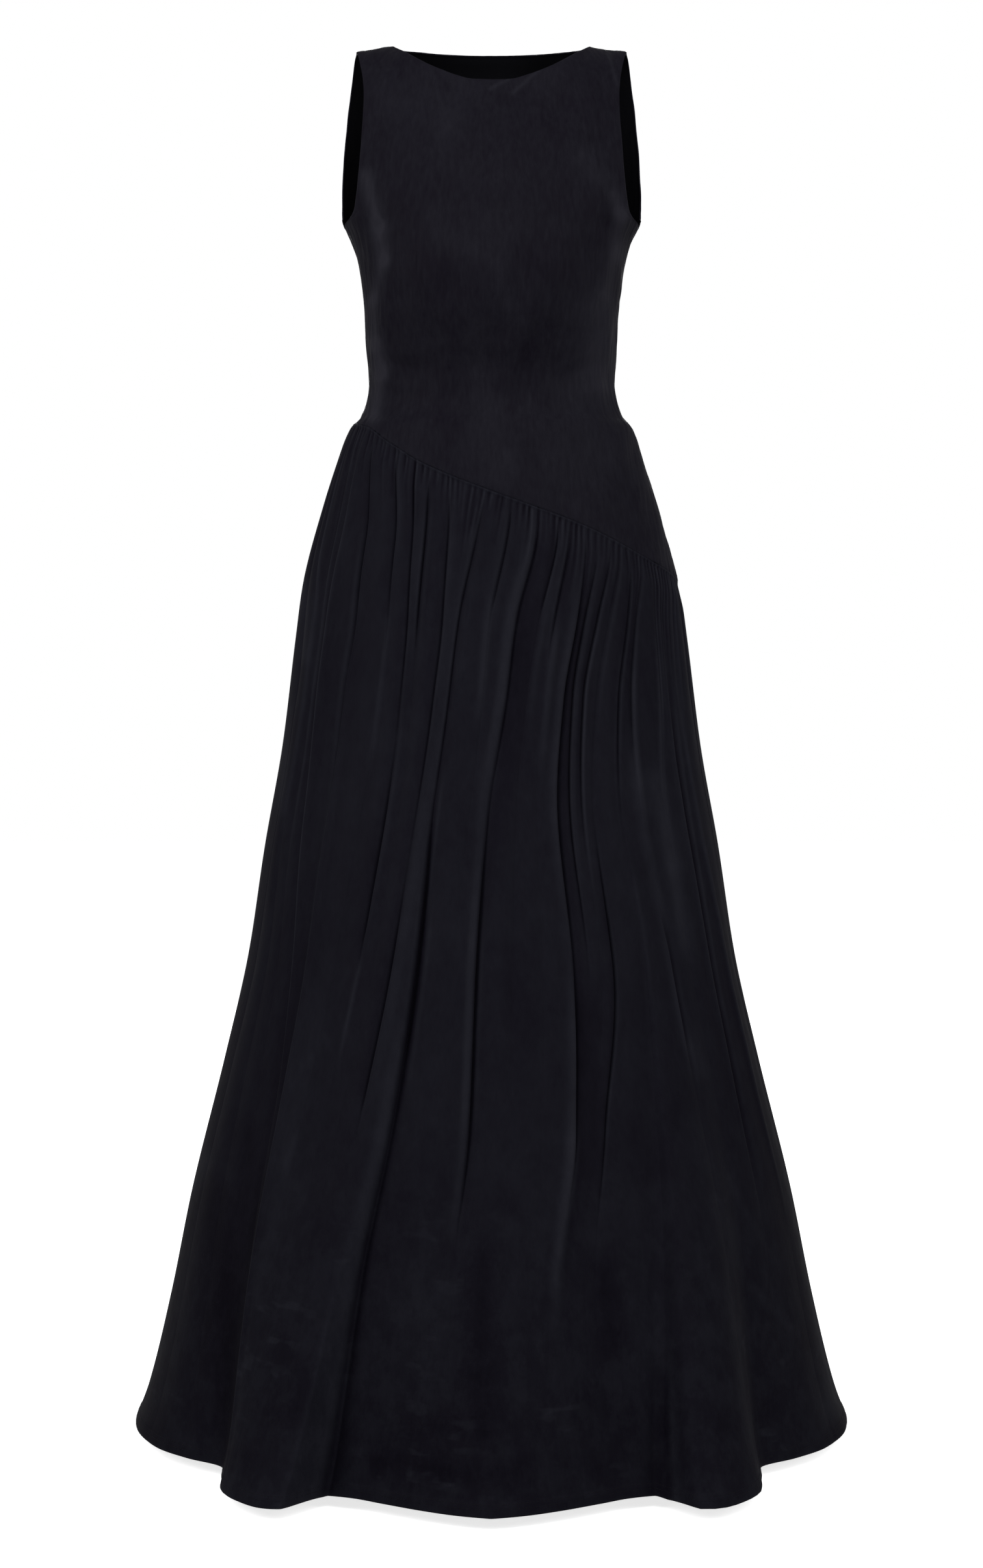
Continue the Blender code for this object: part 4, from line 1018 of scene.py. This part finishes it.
def jersey(name, rough, sheen, crinkle, mottle, tint):
    """Black velour jersey: fine ribs and crinkles down the cloth, an uneven nap, and painted highlights and painted
    shade from the mesh.
    """
    mat = bpy.data.materials.new(name)
    mat.use_nodes = True
    tree = mat.node_tree
    shader = tree.nodes["Principled BSDF"]
    link = tree.links.new
    coords = node(tree, "ShaderNodeTexCoord")

    def mapped(x, y, z, turn=0.0):
        m = node(tree, "ShaderNodeMapping")
        m.inputs["Scale"].default_value = (x, y, z)
        m.inputs["Rotation"].default_value = (0, turn, 0)
        link(coords.outputs["Object"], m.inputs["Vector"])
        return m.outputs["Vector"]

    def noise(vector, scale, detail, roughness=0.55):
        n = node(tree, "ShaderNodeTexNoise")
        n.inputs["Scale"].default_value = scale
        n.inputs["Detail"].default_value = detail
        n.inputs["Roughness"].default_value = roughness
        link(vector, n.inputs["Vector"])
        return n.outputs["Fac"]

    def ramp(value, low, high, out_low, out_high):
        r = node(tree, "ShaderNodeMapRange")
        r.inputs["From Min"].default_value = low
        r.inputs["From Max"].default_value = high
        r.inputs["To Min"].default_value = out_low
        r.inputs["To Max"].default_value = out_high
        link(value, r.inputs["Value"])
        return r.outputs["Result"]

    def maths(kind, a, b):
        m = node(tree, "ShaderNodeMath")
        m.operation = kind
        for k, v in enumerate((a, b)):
            if isinstance(v, float):
                m.inputs[k].default_value = v
            else:
                link(v, m.inputs[k])
        return m.outputs[0]

    # The mesh's value carries the nap together with painted highlights and painted shade.
    lie_and_painted_light = node(tree, "ShaderNodeAttribute")
    lie_and_painted_light.attribute_name = "nap_and_painted_light"
    streaks = noise(mapped(1, 1, 0.22, 0.10), 230.0, 3.0, 0.65)         # crushed lines down the cloth
    clouds = noise(mapped(1, 1, 0.45), 13.0, 4.0, 0.58)           # hand-sized lighter and darker places
    patches = noise(mapped(1, 1, 0.60), 70.0, 5.0, 0.72)          # finger-sized ones
    grain = noise(mapped(1, 1, 1), 1500.0, 2.0)                   # the pile itself
    value = lie_and_painted_light.outputs["Fac"]
    for source, width, share in ((clouds, 0.22, mottle), (patches, 0.20, 0.85 * mottle),
                                 (streaks, 0.20, crinkle), (grain, 0.25, 0.10)):
        value = maths("ADD", value, ramp(source, 0.5 - width, 0.5 + width, -share, share))
    # Thin drag marks where the low part of the skirt has been brushed against.
    drag = noise(mapped(0.35, 0.35, 1.0, 0.9), 70.0, 2.0, 0.5)
    crossing = noise(mapped(1, 1, 1), 9.0, 1.0)
    place = node(tree, "ShaderNodeSeparateXYZ")
    link(coords.outputs["Object"], place.inputs["Vector"])
    low_down = ramp(place.outputs["Z"], -1.08, -1.30, 0.0, 1.0)
    thin = maths("MULTIPLY", ramp(drag, 0.60, 0.67, 0.0, 0.42), ramp(crossing, 0.50, 0.62, 0.0, 1.0))
    # Ragged handled places, stronger low down.
    ragged = ramp(noise(mapped(1, 1, 0.8), 36.0, 8.0, 0.78), 0.45, 0.57, -0.5, 0.5)
    handled = maths("MULTIPLY", ragged, maths("ADD", maths("MULTIPLY", low_down, 0.19), 0.07))
    value = maths("ADD", value, maths("ADD", handled, maths("MULTIPLY", thin, low_down)))
    shade = node(tree, "ShaderNodeValToRGB")
    spots = shade.color_ramp.elements
    while len(spots) < len(SHADES):
        spots.new(0.5)
    for spot, (at, colour) in zip(spots, SHADES):
        spot.position = at / 2.5
        spot.color = (*(t * c for t, c in zip(tint, colour)), 1)
    link(maths("MULTIPLY", value, 0.4), shade.inputs["Fac"])
    link(shade.outputs["Color"], shader.inputs["Base Color"])
    link(ramp(patches, 0.3, 0.7, rough - 0.06, rough + 0.07), shader.inputs["Roughness"])
    shader.inputs["Specular IOR Level"].default_value = 0.015
    shader.inputs["Sheen Weight"].default_value = sheen
    shader.inputs["Sheen Roughness"].default_value = 0.42
    shader.inputs["Sheen Tint"].default_value = (0.92, 0.88, 1.0, 1.0)
    rib = node(tree, "ShaderNodeTexWave")
    rib.wave_type = "BANDS"
    rib.bands_direction = "X"
    rib.inputs["Scale"].default_value = 300.0
    rib.inputs["Distortion"].default_value = 1.5
    rib.inputs["Detail"].default_value = 1.0
    link(coords.outputs["Object"], rib.inputs["Vector"])
    height = maths("ADD", maths("MULTIPLY", rib.outputs["Fac"], 0.10), maths("MULTIPLY", streaks, 5.0 * crinkle))
    height = maths("ADD", height, maths("MULTIPLY", grain, 0.16))
    bump = node(tree, "ShaderNodeBump")
    bump.inputs["Strength"].default_value = 0.55
    bump.inputs["Distance"].default_value = 0.0009
    link(height, bump.inputs["Height"])
    link(bump.outputs["Normal"], shader.inputs["Normal"])
    return mat


def wrong_side(name):
    """The plain knitted back of the cloth, darker than its face: painted shade inside the dress."""
    mat = bpy.data.materials.new(name)
    mat.use_nodes = True
    tree = mat.node_tree
    shader = tree.nodes["Principled BSDF"]
    coords = node(tree, "ShaderNodeTexCoord")
    knit = node(tree, "ShaderNodeTexWave")
    knit.bands_direction = "X"
    knit.inputs["Scale"].default_value = 420.0
    knit.inputs["Distortion"].default_value = 2.0
    tree.links.new(coords.outputs["Object"], knit.inputs["Vector"])
    tint = node(tree, "ShaderNodeMix")
    tint.data_type = "RGBA"
    # Darker than the face: painted shade for the dress's inside.
    tint.inputs["A"].default_value = (0.0034, 0.0034, 0.0042, 1)
    tint.inputs["B"].default_value = (0.0046, 0.0046, 0.0056, 1)
    tree.links.new(knit.outputs["Fac"], tint.inputs["Factor"])
    tree.links.new(tint.outputs["Result"], shader.inputs["Base Color"])
    bump = node(tree, "ShaderNodeBump")
    bump.inputs["Strength"].default_value = 0.3
    bump.inputs["Distance"].default_value = 0.0004
    tree.links.new(knit.outputs["Fac"], bump.inputs["Height"])
    tree.links.new(bump.outputs["Normal"], shader.inputs["Normal"])
    shader.inputs["Roughness"].default_value = 0.85
    shader.inputs["Specular IOR Level"].default_value = 0.0
    return mat


def thread(name):
    mat = bpy.data.materials.new(name)
    mat.use_nodes = True
    tree = mat.node_tree
    shader = tree.nodes["Principled BSDF"]
    coords = node(tree, "ShaderNodeTexCoord")
    twist = node(tree, "ShaderNodeTexWave")
    twist.bands_direction = "DIAGONAL"
    twist.inputs["Scale"].default_value = 900.0
    tree.links.new(coords.outputs["Object"], twist.inputs["Vector"])
    tint = node(tree, "ShaderNodeMix")
    tint.data_type = "RGBA"
    tint.inputs["A"].default_value = (0.0048, 0.0046, 0.0060, 1)
    tint.inputs["B"].default_value = (0.0085, 0.0082, 0.0105, 1)
    tree.links.new(twist.outputs["Fac"], tint.inputs["Factor"])
    tree.links.new(tint.outputs["Result"], shader.inputs["Base Color"])
    bump = node(tree, "ShaderNodeBump")
    bump.inputs["Strength"].default_value = 0.4
    bump.inputs["Distance"].default_value = 0.0001
    tree.links.new(twist.outputs["Fac"], bump.inputs["Height"])
    tree.links.new(bump.outputs["Normal"], shader.inputs["Normal"])
    shader.inputs["Roughness"].default_value = 0.42
    shader.inputs["Specular IOR Level"].default_value = 0.05
    return mat


bodice_cloth = jersey("bodice_velour", 0.52, 0.012, 0.17, 0.12, (1.08, 1.08, 1.10))
skirt_cloth = jersey("skirt_velour", 0.55, 0.009, 0.06, 0.15, (0.96, 1.005, 1.04))
inside_cloth = wrong_side("knitted_back")

# ================================================================= the dress
front_bodice, front_bodice_points = make_bodice("front_bodice", -1, 3)
back_bodice, back_bodice_points = make_bodice("back_bodice", 1, 5)
front_skirt, front_points, front_above = make_skirt("front_skirt", FRONT_LINES, FRONT_FOLDS, FRONT_BANDS, -1, 21)
back_skirt, back_points, back_above = make_skirt("back_skirt", BACK_LINES, BACK_FOLDS, BACK_BANDS, 1, 22)
hem_stitching = stitches([stitch_row(points, above, side, height)
                          for points, above, side in ((front_points, front_above, -1), (back_points, back_above, 1))
                          for height in (0.0075, 0.0120)], 0.0027, 0.0008, 0.00022)

for piece, cad, slot_name, cloth in (
    (front_bodice, "bodice_front", "bodice_jersey", bodice_cloth),
    (back_bodice, "bodice_back", "bodice_jersey", bodice_cloth),
    (front_skirt, "skirt_front", "skirt_jersey", skirt_cloth),
    (back_skirt, "skirt_back", "skirt_jersey", skirt_cloth),
):
    piece.data.materials.append(cloth)
    piece.data.materials.append(inside_cloth)
    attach(piece, "root")
    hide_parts(cad)
hem_stitching.data.materials.append(thread("hem_thread"))
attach(hem_stitching, "root")

# ================================================================= stage, light and camera
ground = grid_mesh("studio_floor", np.stack(np.meshgrid(np.linspace(-9, 9, 3), np.linspace(-9, 9, 3), [0.0],
                                                        indexing="ij"), axis=-1)[:, :, 0])
ground.location = (0, 0, -1.462)
if ground.data.polygons[0].normal.z < 0:
    ground.data.flip_normals()
floor_mat = bpy.data.materials.new("floor_white")
floor_mat.use_nodes = True
floor_shader = floor_mat.node_tree.nodes["Principled BSDF"]
floor_shader.inputs["Base Color"].default_value = (0.93, 0.93, 0.93, 1)
floor_shader.inputs["Roughness"].default_value = 0.9
floor_shader.inputs["Specular IOR Level"].default_value = 0.0
floor_shader.inputs["Emission Color"].default_value = (1, 1, 1, 1)
floor_shader.inputs["Emission Strength"].default_value = 0.74
ground.data.materials.append(floor_mat)
ground.visible_diffuse = False
ground.visible_glossy = False

world = bpy.data.worlds.new("studio")
bpy.context.scene.world = world
world.use_nodes = True
backdrop = world.node_tree.nodes["Background"]
backdrop.inputs["Color"].default_value = (1, 1, 1, 1)
# The backdrop shows white, and lights the dress more softly than it shows.
seen = world.node_tree.nodes.new("ShaderNodeLightPath")
level = world.node_tree.nodes.new("ShaderNodeMapRange")
level.inputs["To Min"].default_value = 0.34
level.inputs["To Max"].default_value = 1.0
world.node_tree.links.new(seen.outputs["Is Camera Ray"], level.inputs["Value"])
world.node_tree.links.new(level.outputs["Result"], backdrop.inputs["Strength"])


def softbox(name, location, target, size, power):
    data = bpy.data.lights.new(name, "AREA")
    data.shape = "RECTANGLE"
    data.size, data.size_y = size
    data.energy = power
    ob = bpy.data.objects.new(name, data)
    ob.location = location
    ob.rotation_euler = (Vector(target) - Vector(location)).to_track_quat("-Z", "Y").to_euler()
    bpy.context.scene.collection.objects.link(ob)
    return ob


softbox("softbox_left", (-1.7, -1.1, 0.2), (0, 0, -0.4), (0.7, 1.4), 26)
softbox("softbox_right", (1.9, -1.3, 0.2), (0, 0, -0.4), (0.9, 1.4), 22)
softbox("softbox_back", (0.0, 3.4, 0.2), (0, 0, -0.7), (1.6, 2.2), 55)
softbox("softbox_front", (0.2, -3.9, -0.9), (0, 0, -0.7), (2.2, 1.6), 26)
softbox("softbox_top", (0.3, -2.4, 1.5), (0, 0, -0.6), (1.4, 1.0), 42)

camera_data = bpy.data.cameras.new("camera")
camera_data.sensor_fit = "VERTICAL"
camera_data.sensor_height = 36.0
camera_data.lens = 66.02
camera = bpy.data.objects.new("camera", camera_data)
camera.location = (0.0, -3.055, -0.6214)
camera.rotation_euler = (math.radians(90 - 2.845), 0, 0)
bpy.context.scene.collection.objects.link(camera)
bpy.context.scene.camera = camera
bpy.context.scene.view_settings.view_transform = "Standard"
bpy.context.scene.view_settings.look = "None"
